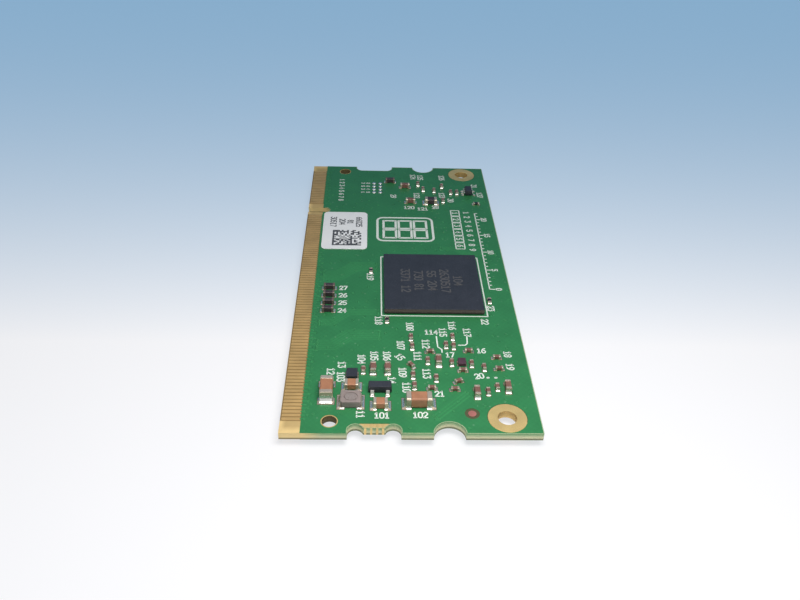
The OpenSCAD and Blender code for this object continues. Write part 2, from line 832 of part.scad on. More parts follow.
module flash_mould() {
  color([0.17, 0.17, 0.18]) at_underside(flash_at) package_mould(flash_w, flash_l, flash_h);
}

module flash_substrate() {
  color([0.2, 0.32, 0.2]) at_underside(flash_at) package_substrate(flash_w, flash_l);
}

module flash_balls() {
  rings = 2;
  color([0.75, 0.75, 0.76])
    at_underside(flash_at) package_balls(flash_w, flash_l, storage_pitch, rings);
}

// Power inductor: a ferrite block on two wrapped terminals, with resin over its winding
module resin_oval(grow) {
  straight = resin_l - resin_w;
  square([straight, resin_w + 2 * grow], center = true);
  for (side = [-1, 1])
    translate([side * straight / 2, 0]) circle(d = resin_w + 2 * grow);
}

module inductor_core() {
  core_h = inductor_h - terminal_t;
  core_l = inductor_l - 2 * terminal_t;
  color([0.5, 0.42, 0.43])
    at_top(inductor_at) difference() {
      translate([0, 0, terminal_t]) linear_extrude(core_h) difference() {
        square([core_l, inductor_w], center = true);
        for (i = [-1, 1])
          for (j = [-1, 1])
            translate([i * core_l / 2, j * inductor_w / 2])
              rotate(45) square(core_edge * sqrt(2), center = true);
      }
      translate([0, 0, inductor_h - resin_t]) linear_extrude(resin_t + past) resin_oval(resin_gap);
    }
}

module inductor_resin() {
  color([0.56, 0.5, 0.5])
    at_top(inductor_at) translate([0, 0, inductor_h - resin_t])
      linear_extrude(resin_t - resin_drop) resin_oval(0);
}

module inductor_terminals() {
  color([0.84, 0.84, 0.84])
    at_top(inductor_at)
      for (turn = [0, 180])
        rotate(turn) translate([inductor_l / 2, -inductor_w / 2, 0]) {
          translate([-terminal_l, 0, 0]) cube([terminal_l, inductor_w, terminal_t]);
          translate([-terminal_t, 0, 0]) cube([terminal_t, inductor_w, terminal_h]);
        }
}

module transistor_body() {
  color([0.15, 0.14, 0.15]) at_top(transistor_at) moulded_body(transistor);
}

module transistor_leads() {
  color([0.85, 0.86, 0.87])
    at_top(transistor_at) at_leads(transistor, transistor_leads_at) lead(transistor, transistor_lead_w);
}

module supervisor_body() {
  color([0.17, 0.15, 0.17]) at_top(supervisor_at) moulded_body(supervisor);
}

module supervisor_leads() {
  color([0.85, 0.86, 0.87])
    at_top(supervisor_at) at_leads(supervisor, supervisor_leads_at) lead(supervisor, supervisor_lead_w);
}

module converter_body() {
  color([0.13, 0.12, 0.13]) at_top(converter_at) block_body(converter);
}

module converter_feet() {
  color([0.85, 0.85, 0.85]) at_top(converter_at) feet(converter, converter_feet_row);
}

module logic_body() {
  color([0.2, 0.13, 0.15]) at_top(logic_at) block_body(logic);
}

module logic_feet() {
  color([0.85, 0.85, 0.85]) at_top(logic_at) feet(logic, logic_feet_row);
}

// Crystal: a ceramic base on its feet, with a metal lid set in from its rim
module crystal_base() {
  color([0.75, 0.72, 0.66])
    at_underside(crystal_at) {
      feet(crystal, crystal_feet_row);
      block_body([crystal_l, crystal_w, crystal_h - crystal_lid_t]);
    }
}

module crystal_lid() {
  color([0.8, 0.8, 0.78])
    at_underside(crystal_at) translate([0, 0, crystal_h - crystal_lid_t])
      linear_extrude(crystal_lid_t)
        rounded_square(crystal_l - 2 * crystal_rim, crystal_w - 2 * crystal_rim, crystal_lid_r);
}

module bulk_capacitor_left_body() {
  color([0.7, 0.5, 0.38]) at_top(bulk_left_at) chip_body(large);
}

module bulk_capacitor_left_ends() {
  color([0.8, 0.79, 0.76]) at_top(bulk_left_at) chip_ends(large);
}

module bulk_capacitor_right_body() {
  color([0.72, 0.48, 0.33]) at_top(bulk_right_at) chip_body(large);
}

module bulk_capacitor_right_ends() {
  color([0.8, 0.79, 0.76]) at_top(bulk_right_at) chip_ends(large);
}

module input_capacitor_body() {
  color([0.62, 0.46, 0.36]) at_top(input_at) chip_body(medium);
}

module input_capacitor_ends() {
  color([0.8, 0.79, 0.76]) at_top(input_at) chip_ends(medium);
}

module output_capacitor_body() {
  color([0.62, 0.44, 0.35]) at_top(output_at) chip_body(medium);
}

module output_capacitor_ends() {
  color([0.8, 0.79, 0.76]) at_top(output_at) chip_ends(medium);
}

module choke_body() {
  color([0.24, 0.18, 0.17]) at_top(choke_at) chip_body(choke);
}

module choke_ends() {
  color([0.82, 0.82, 0.8]) at_top(choke_at) chip_ends(choke);
}

module small_capacitor_bodies() {
  color([0.6, 0.4, 0.34]) chips_at_top(small_capacitors) chip_body(small);
}

module small_capacitor_ends() {
  color([0.8, 0.79, 0.76]) chips_at_top(small_capacitors) chip_ends(small);
}

module tiny_capacitor_bodies() {
  color([0.56, 0.4, 0.34]) chips_at_top(tiny_capacitors) chip_body(tiny);
}

module tiny_capacitor_ends() {
  color([0.8, 0.79, 0.76]) chips_at_top(tiny_capacitors) chip_ends(tiny);
}

module resistor_bodies() {
  color([0.12, 0.12, 0.13]) chips_at_top(resistors) chip_body(resistor);
}

module resistor_ends() {
  color([0.82, 0.82, 0.82]) chips_at_top(resistors) chip_ends(resistor);
}

module ferrite_bead_bodies() {
  color([0.25, 0.22, 0.22]) chips_at_top(ferrite_beads) chip_body(small);
}

module ferrite_bead_ends() {
  color([0.8, 0.8, 0.8]) chips_at_top(ferrite_beads) chip_ends(small);
}

module underside_capacitor_bodies() {
  color([0.56, 0.4, 0.34])
    for (place = underside_capacitors)
      at_underside(place) chip_body(tiny);
}

module underside_capacitor_ends() {
  color([0.8, 0.79, 0.76])
    for (place = underside_capacitors)
      at_underside(place) chip_ends(tiny);
}

module label_sticker() {
  color([0.93, 0.93, 0.95])
    at_top(label_at) linear_extrude(label_t) rounded_square(label_w, label_l, label_r);
}

circuit_board();
solder_mask_top();
solder_mask_underside();
edge_contacts_top();
edge_contacts_underside();
mounting_hole_plating();
tab_strips_gold();
fiducial_dot();
lands_top();
lands_underside();
solder_top();
solder_underside();
header_pads();
processor_mould();
processor_substrate();
processor_balls();
memory_mould();
memory_substrate();
memory_balls();
flash_mould();
flash_substrate();
flash_balls();
inductor_core();
inductor_resin();
inductor_terminals();
transistor_body();
transistor_leads();
supervisor_body();
supervisor_leads();
converter_body();
converter_feet();
logic_body();
logic_feet();
crystal_base();
crystal_lid();
bulk_capacitor_left_body();
bulk_capacitor_left_ends();
bulk_capacitor_right_body();
bulk_capacitor_right_ends();
input_capacitor_body();
input_capacitor_ends();
output_capacitor_body();
output_capacitor_ends();
choke_body();
choke_ends();
small_capacitor_bodies();
small_capacitor_ends();
tiny_capacitor_bodies();
tiny_capacitor_ends();
resistor_bodies();
resistor_ends();
ferrite_bead_bodies();
ferrite_bead_ends();
underside_capacitor_bodies();
underside_capacitor_ends();
label_sticker();
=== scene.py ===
import json
import math

import bmesh
import bpy
from bpy.props import FloatProperty, FloatVectorProperty, IntProperty, PointerProperty
from mathutils import Matrix, Vector


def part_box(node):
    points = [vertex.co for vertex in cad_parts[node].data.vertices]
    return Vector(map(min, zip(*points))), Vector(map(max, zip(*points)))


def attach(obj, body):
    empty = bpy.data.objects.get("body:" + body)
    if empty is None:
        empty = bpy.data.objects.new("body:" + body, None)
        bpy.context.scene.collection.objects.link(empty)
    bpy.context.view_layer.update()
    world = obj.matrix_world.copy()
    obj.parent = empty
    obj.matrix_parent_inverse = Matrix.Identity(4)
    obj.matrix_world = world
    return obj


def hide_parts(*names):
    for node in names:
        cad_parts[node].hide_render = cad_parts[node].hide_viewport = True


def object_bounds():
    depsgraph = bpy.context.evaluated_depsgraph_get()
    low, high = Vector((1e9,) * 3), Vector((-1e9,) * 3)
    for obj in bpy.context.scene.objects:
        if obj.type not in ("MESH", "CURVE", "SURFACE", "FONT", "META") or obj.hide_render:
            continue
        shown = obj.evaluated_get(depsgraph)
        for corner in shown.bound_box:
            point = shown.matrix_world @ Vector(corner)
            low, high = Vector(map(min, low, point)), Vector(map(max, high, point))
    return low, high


bl_info = {
    "name": "Card edge computer module",
    "version": (1, 0, 0),
    "blender": (4, 5, 0),
    "location": "View3D > Sidebar > Module",
    "description": "Gives the packed computer module its finishes, traces and printed legend",
    "category": "Object",
}

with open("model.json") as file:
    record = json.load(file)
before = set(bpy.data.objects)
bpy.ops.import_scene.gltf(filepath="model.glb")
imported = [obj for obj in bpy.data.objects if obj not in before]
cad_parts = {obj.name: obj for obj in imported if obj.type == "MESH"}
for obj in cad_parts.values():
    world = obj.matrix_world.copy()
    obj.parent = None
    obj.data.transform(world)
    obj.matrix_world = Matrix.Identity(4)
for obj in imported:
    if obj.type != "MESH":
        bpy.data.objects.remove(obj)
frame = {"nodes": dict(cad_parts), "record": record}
CAD_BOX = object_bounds()

# One millimetre, and the distance within which two corners of a mesh are the same corner
MM = 0.001
WELD = 1e-7

NODES = frame["nodes"]
BOARD_LOW, BOARD_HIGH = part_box("circuit_board")
MASK_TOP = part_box("solder_mask_top")[1].z
MASK_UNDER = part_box("solder_mask_underside")[0].z
LABEL_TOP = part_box("label_sticker")[1].z
PROCESSOR_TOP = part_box("processor_mould")[1].z
TOOLING_HOLES = next(mount for mount in frame["record"]["mounts"] if mount["name"] == "tooling_holes")
WHITE = (1.0, 1.0, 1.0)


def srgb(red, green, blue):
    """Linear colour of an 8-bit display colour."""
    return tuple(((part / 255 + 0.055) / 1.055) ** 2.4 for part in (red, green, blue))


def rgba(colour, gain=1.0):
    """Four-part colour from a three-part one, made lighter or darker by a gain."""
    return tuple(min(part * gain, 1.0) for part in colour) + (1.0,)


def on_board(u, v, z):
    """Point from its distances in mm past the contact edge and past the near end."""
    return Vector((BOARD_LOW.x + u * MM, BOARD_LOW.y + v * MM, z))


def place_of(point):
    """Distances in mm of a point past the contact edge and past the near end."""
    return (point.x - BOARD_LOW.x) / MM, (point.y - BOARD_LOW.y) / MM


# Settings that a user would change


def tint(name, description, default):
    return FloatVectorProperty(name=name, description=description, default=default, subtype="COLOR", size=3,
                               min=0.0, max=1.0)


def length(name, description, default):
    return FloatProperty(name=name, description=description, default=default, subtype="DISTANCE",
                         unit="LENGTH")


def angle(name, description, degrees):
    return FloatProperty(name=name, description=description, default=math.radians(degrees), subtype="ANGLE")


def power(name, description, watts):
    return FloatProperty(name=name, description=description, default=watts, unit="POWER")


class ModuleBoardSettings(bpy.types.PropertyGroup):
    """Finish of the bare board"""

    mask: tint("Solder mask", "Green of the solder mask over bare laminate", srgb(52, 129, 78))
    copper_mask: tint("Mask on copper", "Green of the mask where copper backs it", srgb(60, 141, 86))
    laminate: tint("Laminate", "Glass and resin seen at the cut edges", srgb(202, 206, 168))
    bare: tint("Bare laminate", "Face of the laminate along the board's edges", srgb(238, 206, 142))
    inner: tint("Inner planes", "Laminate between the contacts, over inner copper", srgb(124, 98, 54))
    # Also the painted shade at the foot of the cut sides
    opening: tint("Mask opening", "Laminate in the mask's openings", srgb(78, 76, 48))
    gold: tint("Contact gold", "Plating of the contacts", srgb(218, 178, 116))
    ring_gold: tint("Ring gold", "Plating of the mounting rings and the tab", srgb(230, 198, 132))
    copper: tint("Copper", "Bare copper of the fiducial", srgb(204, 128, 118))
    # Painted highlight: width of the pale line along the top edge of the outline
    rim: length("Rim", "Width of the pale line that the router leaves along the outline", 0.1 * MM)
    trace_width: length("Trace width", "Width of a copper trace", 0.2 * MM)
    trace_rise: length("Trace rise", "Height of a trace under the mask", 0.003 * MM)
    via_diameter: length("Via diameter", "Diameter of a mask-covered via", 0.46 * MM)
    via_rise: length("Via rise", "Height of a via under the mask", 0.008 * MM)
    via_spacing: length("Via spacing", "Least distance between scattered vias", 1.25 * MM)
    via_clearance: length("Via clearance", "Room kept round lands and edges", 0.42 * MM)
    via_seed: IntProperty(name="Via seed", description="Seed of the scattered vias", default=7)


class ModuleLegendSettings(bpy.types.PropertyGroup):
    """Print on the board, the label and the packages"""

    ink: tint("Legend ink", "White print on the board", srgb(240, 246, 240))
    stroke: length("Stroke", "Width of a printed line", 0.18 * MM)
    thickness: length("Ink thickness", "Height of the print above the mask", 0.012 * MM)
    digit_height: length("Digit height", "Height of the part numbers", 0.88 * MM)
    label: tint("Label", "Face of the sticker", srgb(252, 252, 255))
    print_black: tint("Label print", "Black print on the sticker", srgb(34, 34, 40))
    mark: tint("Package mark", "Pale marking on a package", srgb(102, 99, 98))
    mark_height: length("Mark height", "Height of the numbers on a package", 1.2 * MM)
    code_seed: IntProperty(name="Code seed", description="Seed of the label's square pattern", default=23)


class ModulePartSettings(bpy.types.PropertyGroup):
    """Finish of the parts on the board"""

    mould: tint("Mould", "Dark moulding compound of a package", srgb(44, 45, 53))
    # Partly the sawn sides' own paler colour, partly painted light that brightens the dimly lit sides
    sawn: tint("Sawn mould", "Rough sawn sides of a package", srgb(98, 82, 77))
    plum: tint("Plum mould", "Moulding compound of the small logic chip", srgb(80, 50, 62))
    # Partly the substrate's own colour, darkened further as painted shade round the packages
    substrate: tint("Substrate", "Edge of a package substrate", srgb(50, 44, 38))
    ceramic_brown: tint("Large ceramic", "Body of the larger capacitors", srgb(172, 119, 88))
    ceramic_red: tint("Small ceramic", "Body of the small capacitors", srgb(124, 88, 77))
    ferrite: tint("Ferrite", "Body of the beads and the choke", srgb(58, 48, 52))
    resistor: tint("Resistor", "Glaze on a resistor", srgb(34, 34, 38))
    inductor: tint("Inductor", "Pressed core of the inductor", srgb(146, 132, 128))
    resin: tint("Resin", "Resin over the inductor's winding", srgb(140, 129, 125))
    tin: tint("Tinned ends", "Plated ends and leads", srgb(212, 194, 174))
    dull_tin: tint("Dull ends", "Plated ends of the ferrite beads", srgb(124, 108, 100))
    solder: tint("Solder", "Fillets, pads and balls", srgb(232, 230, 224))
    lid: tint("Crystal lid", "Metal lid of the crystal", srgb(196, 190, 176))
    crystal: tint("Crystal base", "Ceramic base of the crystal", srgb(66, 58, 54))


class ModuleStageSettings(bpy.types.PropertyGroup):
    """Floor, light and camera"""

    floor: tint("Floor", "Pale floor near the camera", srgb(252, 252, 255))
    floor_far: tint("Far floor", "Cooler floor behind the module", srgb(148, 190, 224))
    fade_start: length("Fade start", "Where the floor starts to cool, along Y", -15 * MM)
    fade_length: length("Fade length", "Distance over which most of it cools", 45 * MM)
    floor_size: length("Floor size", "Side of the floor", 2.4)
    floor_lift: FloatProperty(name="Floor lift", description="How much its shadow is lightened",
                              subtype="FACTOR", min=0.0, max=1.0, default=0.7)
    key_power: power("Key", "Power of the key lamp", 0.085)
    glint_power: power("Glint", "Power of the small front lamp", 0.03)
    under_power: power("Under", "Power of the lamp below the floor", 0.4)
    sky: FloatProperty(name="Sky", description="Strength of the room's light", default=0.29)
    sky_colour: tint("Sky colour", "Colour of the room's light", (0.84, 0.93, 1.0))
    room_near: tint("Near room", "What shiny parts reflect towards the camera", (0.8, 0.82, 0.84))
    room_far: tint("Far room", "What shiny parts reflect behind the module", (0.1, 0.23, 0.38))
    lens: FloatProperty(name="Lens", description="Focal length in mm on a 36 mm sensor", default=35.21)
    azimuth: angle("Azimuth", "Turn of the view", 2.862)
    elevation: angle("Elevation", "Height of the view", 36.319)
    roll: angle("Roll", "Lean of the camera", -2.319)


def chosen(colour_name):
    """Colour of that name among the settings of the board, the print and the parts."""
    scene = bpy.context.scene
    groups = (scene.module_board, scene.module_legend, scene.module_parts)
    return next(getattr(group, colour_name) for group in groups if hasattr(group, colour_name))


# Node helpers


def feed(tree, socket, value):
    """Links a socket to another one, or gives it a plain value."""
    if isinstance(value, bpy.types.NodeSocket):
        tree.links.new(value, socket)
    else:
        socket.default_value = value


def add(tree, kind, inputs=None, **settings):
    """New node with its settings made and its inputs fed."""
    node = tree.nodes.new(kind)
    for key, value in settings.items():
        setattr(node, key, value)
    for key, value in (inputs or {}).items():
        feed(tree, node.inputs[key], value)
    return node


def out(tree, kind, inputs=None, **settings):
    """First output of a new node."""
    return add(tree, kind, inputs, **settings).outputs[0]


def maths(tree, operation, first, second=0.0):
    return out(tree, "ShaderNodeMath", {0: first, 1: second}, operation=operation)


def plus(tree, first, second):
    return maths(tree, "ADD", first, second)


def minus(tree, first, second):
    return maths(tree, "SUBTRACT", first, second)


def times(tree, first, second):
    return maths(tree, "MULTIPLY", first, second)


def over(tree, first, second):
    return maths(tree, "DIVIDE", first, second)


def split(tree, vector):
    """The three parts of a vector."""
    return add(tree, "ShaderNodeSeparateXYZ", {"Vector": vector}).outputs


def vector_of(tree, x, y, z):
    return out(tree, "ShaderNodeCombineXYZ", {0: x, 1: y, 2: z})


def mix(tree, factor, first, second):
    """Colour between two others."""
    return add(tree, "ShaderNodeMix", {0: factor, 6: first, 7: second}, data_type="RGBA").outputs[2]


def spread(tree, value, low, high, start=0.0, end=1.0):
    """Value carried from one range to another."""
    inputs = {"Value": value, "From Min": start, "From Max": end, "To Min": low, "To Max": high}
    return out(tree, "ShaderNodeMapRange", inputs)


def inside(tree, value, low, high, soft):
    """One between two limits, falling to nought over a short distance outside them."""
    rising = spread(tree, value, 0.0, 1.0, low - soft, low)
    return times(tree, rising, spread(tree, value, 1.0, 0.0, high, high + soft))


def noise(tree, vector, scale, detail, roughness=0.5):
    inputs = {"Vector": vector, "Scale": scale, "Detail": detail, "Roughness": roughness}
    return out(tree, "ShaderNodeTexNoise", inputs)


# Shader groups that several finishes share


def shader_group(name, values, outputs):
    """New shader group over a place with named values: its tree, its inner inputs and its inner outputs."""
    group = bpy.data.node_groups.new(name, "ShaderNodeTree")
    group.interface.new_socket("Vector", in_out="INPUT", socket_type="NodeSocketVector")
    for label, default in values.items():
        socket = group.interface.new_socket(label, in_out="INPUT", socket_type="NodeSocketFloat")
        socket.default_value = default
    for label in outputs:
        group.interface.new_socket(label, in_out="OUTPUT", socket_type="NodeSocketFloat")
    return group, add(group, "NodeGroupInput").outputs, add(group, "NodeGroupOutput").inputs


def grain_group():
    """Fine grain and a broad cloudy change at about sixteen times its size."""
    group, given, made = shader_group("Grain", {"Scale": 5000.0}, ("Fine", "Broad"))
    fine = noise(group, given["Vector"], given["Scale"], 3.0, 0.62)
    broad = noise(group, given["Vector"], times(group, given["Scale"], 0.06), 2.0)
    group.links.new(spread(group, fine, 0.0, 1.0, 0.25, 0.75), made["Fine"])
    group.links.new(spread(group, broad, 0.0, 1.0, 0.3, 0.7), made["Broad"])
    return group


def weave_group():
    """Plain weave of the glass cloth inside the laminate."""
    group, given, made = shader_group("Glass weave", {"Pitch": 0.5 * MM}, ("Threads",))
    axes = split(group, given["Vector"])
    turns = over(group, math.pi, given["Pitch"])
    waves = [maths(group, "SINE", times(group, axes[axis], turns)) for axis in (0, 1)]
    group.links.new(spread(group, times(group, *waves), 0.0, 1.0, -1.0, 1.0), made["Threads"])
    return group


def flecks_group():
    """Small separate spots, such as dust on a face or grains in a ceramic."""
    group, given, made = shader_group("Flecks", {"Scale": 4000.0, "Share": 0.2}, ("Mask",))
    cells = add(group, "ShaderNodeTexVoronoi", {"Vector": given["Vector"], "Scale": given["Scale"]}).outputs
    chance = out(group, "ShaderNodeSeparateColor", {"Color": cells["Color"]})
    drawn = maths(group, "LESS_THAN", chance, given["Share"])
    spot = spread(group, cells["Distance"], 1.0, 0.0, 0.2, 0.42)
    group.links.new(times(group, drawn, spot), made["Mask"])
    return group


def wipes_group():
    """Fine marks drawn out along X, left by sliding or by rolling the metal."""
    group, given, made = shader_group("Wipes", {"Scale": 9000.0, "Stretch": 14.0}, ("Marks",))
    x, y, z = split(group, given["Vector"])
    drawn = vector_of(group, over(group, x, given["Stretch"]), y, z)
    marks = noise(group, drawn, given["Scale"], 2.0)
    group.links.new(spread(group, marks, 0.0, 1.0, 0.35, 0.65), made["Marks"])
    return group


# Finishes


class Finish:
    """Material under way: its tree, its shader and the piece's own coordinates."""

    def __init__(self, name):
        self.material = bpy.data.materials.new(name)
        self.material.use_nodes = True
        self.tree = self.material.node_tree
        self.tree.nodes.clear()
        self.output = add(self.tree, "ShaderNodeOutputMaterial")
        self.shader = add(self.tree, "ShaderNodeBsdfPrincipled")
        self.tree.links.new(self.shader.outputs[0], self.output.inputs["Surface"])
        self.place = add(self.tree, "ShaderNodeTexCoord").outputs["Object"]

    def use(self, group_name, **values):
        """Places a shared group with its own values, and returns its outputs."""
        inputs = {"Vector": self.place, **values}
        return add(self.tree, "ShaderNodeGroup", inputs, node_tree=group_named(group_name)).outputs

    def set(self, **values):
        """Feeds the shader's sockets, with underscores for the spaces in their names."""
        for key, value in values.items():
            feed(self.tree, self.shader.inputs[key.replace("_", " ")], value)

    def bump(self, height, strength, depth):
        inputs = {"Strength": strength, "Distance": depth, "Height": height}
        self.set(Normal=out(self.tree, "ShaderNodeBump", inputs))


def mask_finish(name, colour, shine):
    """Glossy solder mask with the cloth showing through it faintly, and a little dust."""
    finish = Finish(name)
    tree = finish.tree
    grain = finish.use("Grain", Scale=6000.0)
    threads = finish.use("Glass weave", Pitch=0.42 * MM)["Threads"]
    dust = finish.use("Flecks", Scale=2600.0, Share=0.03)["Mask"]
    tone = mix(tree, grain["Broad"], rgba(colour, 0.94), rgba(colour, 1.08))
    tone = mix(tree, spread(tree, threads, 0.0, 0.16), tone, rgba(colour, 0.6))
    tone = mix(tree, times(tree, dust, 0.25), tone, rgba(srgb(150, 190, 160)))
    height = out(tree, "ShaderNodeMix", {0: 0.4, 2: threads, 3: grain["Fine"]})
    rough = spread(tree, grain["Fine"], 0.26, 0.42)
    finish.set(Base_Color=tone, Roughness=rough, Specular_IOR_Level=shine)
    finish.bump(height, 0.18, 0.01 * MM)
    return finish.material


# Bare laminate is pale along the board's edges, browner inside them where copper backs it, and darker in the
# mask's openings, with a green ring round each tooling hole
BARE_MARGIN = 1.8 * MM
BARE_DEPTH = 3.0 * MM
COPPER_INSET = Vector((0.45 * MM, 0.8 * MM))
RING_START, RING_END = 0.14 * MM, 0.4 * MM
# The pale margin is twice as wide from the contact edge to about here
WIDE_MARGIN_END = BOARD_LOW.x + 8 * MM
# Pitch of the cloth's layers in a cut side, and where the yellow of the contact edge fades
LAYER_PITCH = 0.17 * MM
YELLOW_START, YELLOW_END = BOARD_LOW.x + 2.6 * MM, BOARD_LOW.x + 5.0 * MM
# Depth of the faces' own colour
SKIN = 0.01 * MM


def past_bore(tree, x, y):
    """Distance outside the wall of the nearer tooling hole."""
    middle = TOOLING_HOLES["pos_m"]
    sizes = TOOLING_HOLES["dims"]
    across = minus(tree, x, middle[0])
    from_middle = maths(tree, "ABSOLUTE", minus(tree, y, middle[1]))
    along = minus(tree, from_middle, sizes["spacing_y_mm"] / 2 * MM)
    squares = plus(tree, times(tree, across, across), times(tree, along, along))
    return minus(tree, maths(tree, "SQRT", squares), sizes["hole_r_mm"] * MM)


def cut_side(tree, settings, colour, x, y, z, fibres):
    """Colour of a cut side: layers of cloth, green above, yellow at the contacts, and painted shade
    darkening its foot.
    """
    height = spread(tree, z, 0.0, 1.0, BOARD_LOW.z, BOARD_HIGH.z)
    layer = spread(tree, maths(tree, "SINE", times(tree, z, math.tau / LAYER_PITCH)), 0.0, 0.4, -1.0, 1.0)
    tone = mix(tree, layer, rgba(colour), rgba(colour, 0.76))
    tone = mix(tree, times(tree, fibres, 0.2), tone, rgba(settings.bare))
    tone = mix(tree, spread(tree, height, 0.0, 0.75, 0.45, 0.9), tone, rgba(settings.copper_mask))
    tone = mix(tree, spread(tree, x, 0.9, 0.0, YELLOW_START, YELLOW_END), tone, rgba(settings.bare))
    bore = maths(tree, "LESS_THAN", past_bore(tree, x, y), 0.05 * MM)
    tone = mix(tree, times(tree, bore, 0.9), tone, rgba(settings.inner, 0.7))
    # Painted shade: the cut side darkens towards its foot, standing for the shadow under the board's edge
    return mix(tree, spread(tree, height, 0.85, 0.0, 0.12, 0.32), tone, rgba(settings.opening))


def bare_face(tree, settings, x, y, grain):
    """Colour of the bare faces: pale along the edges, brown between the contacts, dark in the openings."""
    ends = maths(tree, "MINIMUM", minus(tree, y, BOARD_LOW.y), minus(tree, BOARD_HIGH.y, y))
    from_edge = minus(tree, x, BOARD_LOW.x)
    tone = mix(tree, grain["Broad"], rgba(settings.bare), rgba(settings.bare, 0.86))
    backed = times(tree, spread(tree, ends, 0.0, 1.0, COPPER_INSET.y * 0.5, COPPER_INSET.y * 1.4),
                   spread(tree, from_edge, 0.0, 1.0, COPPER_INSET.x * 0.4, COPPER_INSET.x * 1.6))
    tone = mix(tree, times(tree, backed, 0.4), tone, rgba(settings.inner))
    margin = times(tree, ends, spread(tree, x, 0.5, 1.0, WIDE_MARGIN_END, WIDE_MARGIN_END + MM))
    margin = maths(tree, "MINIMUM", margin, minus(tree, from_edge, MM))
    opened = spread(tree, margin, 0.0, 1.0, BARE_MARGIN, BARE_MARGIN + 0.1 * MM)
    tone = mix(tree, opened, tone, rgba(settings.opening))
    ring = inside(tree, past_bore(tree, x, y), RING_START, RING_END, 0.04 * MM)
    tone = mix(tree, ring, tone, rgba(settings.mask, 0.9))
    rows = [inside(tree, y, low, high, 0.2 * MM) for low, high in contact_rows()]
    in_depth = maths(tree, "LESS_THAN", x, BOARD_LOW.x + BARE_DEPTH)
    between = times(tree, maths(tree, "MAXIMUM", *rows), in_depth)
    return mix(tree, times(tree, between, 0.9), tone, rgba(settings.inner))


def laminate_finish(name, colour):
    """Laminate of glass cloth and resin, at its cut sides and where no mask covers its faces."""
    finish = Finish(name)
    tree = finish.tree
    settings = bpy.context.scene.module_board
    grain = finish.use("Grain", Scale=9000.0)
    fibres = finish.use("Wipes", Scale=11000.0, Stretch=5.0)["Marks"]
    x, y, z = split(tree, finish.place)
    core = inside(tree, z, BOARD_LOW.z + SKIN, BOARD_HIGH.z - SKIN, SKIN / 2)
    face = bare_face(tree, settings, x, y, grain)
    side = cut_side(tree, settings, colour, x, y, z, fibres)
    finish.set(Base_Color=mix(tree, core, face, side), Roughness=spread(tree, grain["Fine"], 0.5, 0.75))
    finish.bump(fibres, 0.4, 0.02 * MM)
    return finish.material


def metal_finish(name, colour, rough, uneven=0.2, stretch=1.0, bump=0.15, metallic=1.0):
    """Plated or soft metal, uneven in shine, with marks along X where it is stretched."""
    finish = Finish(name)
    tree = finish.tree
    grain = finish.use("Grain", Scale=7000.0)
    marks = finish.use("Wipes", Scale=9000.0, Stretch=stretch)["Marks"]
    tone = mix(tree, grain["Broad"], rgba(colour, 0.84), rgba(colour, 1.1))
    tone = mix(tree, times(tree, marks, 0.3), tone, rgba(colour, 0.66))
    texture = plus(tree, grain["Fine"], marks)
    roughness = spread(tree, texture, rough, rough + uneven, 0.0, 2.0)
    finish.set(Base_Color=tone, Metallic=metallic, Roughness=roughness)
    finish.bump(texture, bump, 0.01 * MM)
    return finish.material


# Scale of the grain in a moulded body, how much finer its flecks are, their strength and the bump's depth
BODY_GRAIN = 9000.0
FLECK_FINENESS = 1.6
FLECK_STRENGTH = 0.6
BODY_BUMP = 0.012 * MM


def grain_finish(name, colour, rough, flecks, share, scale=BODY_GRAIN, bump=0.2, cloud=0.14):
    """Fired or moulded body with fine grains of a second colour in it."""
    finish = Finish(name)
    tree = finish.tree
    grain = finish.use("Grain", Scale=scale)
    spots = finish.use("Flecks", Scale=scale * FLECK_FINENESS, Share=share)["Mask"]
    tone = mix(tree, grain["Broad"], rgba(colour, 1 - cloud), rgba(colour, 1 + cloud))
    tone = mix(tree, times(tree, spots, FLECK_STRENGTH), tone, rgba(srgb(*flecks)))
    finish.set(Base_Color=tone, Roughness=spread(tree, grain["Fine"], rough - 0.1, rough + 0.12))
    finish.bump(plus(tree, grain["Fine"], spots), bump, BODY_BUMP)
    return finish.material


# Height of the smooth band between a package's face and its sawn sides
SAWN_EDGE = 0.08 * MM


def mould_finish(name, colour, sawn):
    """Moulding compound of the large packages: smooth on its face, rougher and paler at its sawn sides,
    paler partly from the sawn finish and partly as painted light that makes up for the dim light on the
    sides.
    """
    finish = Finish(name)
    tree = finish.tree
    grain = finish.use("Grain", Scale=BODY_GRAIN)
    spots = finish.use("Flecks", Scale=14000.0, Share=0.28)["Mask"]
    height = split(tree, finish.place)[2]
    side = inside(tree, height, CAD_BOX[0].z + SAWN_EDGE, PROCESSOR_TOP - SAWN_EDGE, SAWN_EDGE / 8)
    tone = mix(tree, grain["Broad"], rgba(colour, 0.86), rgba(colour, 1.14))
    # Paler sides: partly the sawn finish, partly painted light for the dim light on them
    tone = mix(tree, times(tree, side, 0.9), tone, rgba(chosen(sawn)))
    tone = mix(tree, times(tree, spots, FLECK_STRENGTH), tone, rgba(srgb(96, 98, 106)))
    rough = plus(tree, spread(tree, grain["Fine"], 0.4, 0.62), times(tree, side, 0.2))
    finish.set(Base_Color=tone, Roughness=rough)
    finish.bump(plus(tree, grain["Fine"], spots), 0.2, BODY_BUMP)
    return finish.material


def ink_finish(name, colour, base, wear):
    """Printed ink, and the painted highlight line along the rim, thinning here and there to the colour under
    it.
    """
    finish = Finish(name)
    tree = finish.tree
    grain = finish.use("Grain", Scale=16000.0)
    tone = mix(tree, times(tree, grain["Fine"], wear), rgba(colour), rgba(chosen(base)))
    finish.set(Base_Color=tone, Roughness=spread(tree, grain["Broad"], 0.45, 0.65))
    finish.bump(grain["Fine"], 0.2, 0.006 * MM)
    return finish.material


def recipe(maker, material, colour_name, **values):
    """How a finish is made: its maker, its material's name, its colour among the settings, its values."""
    return maker, material, colour_name, values


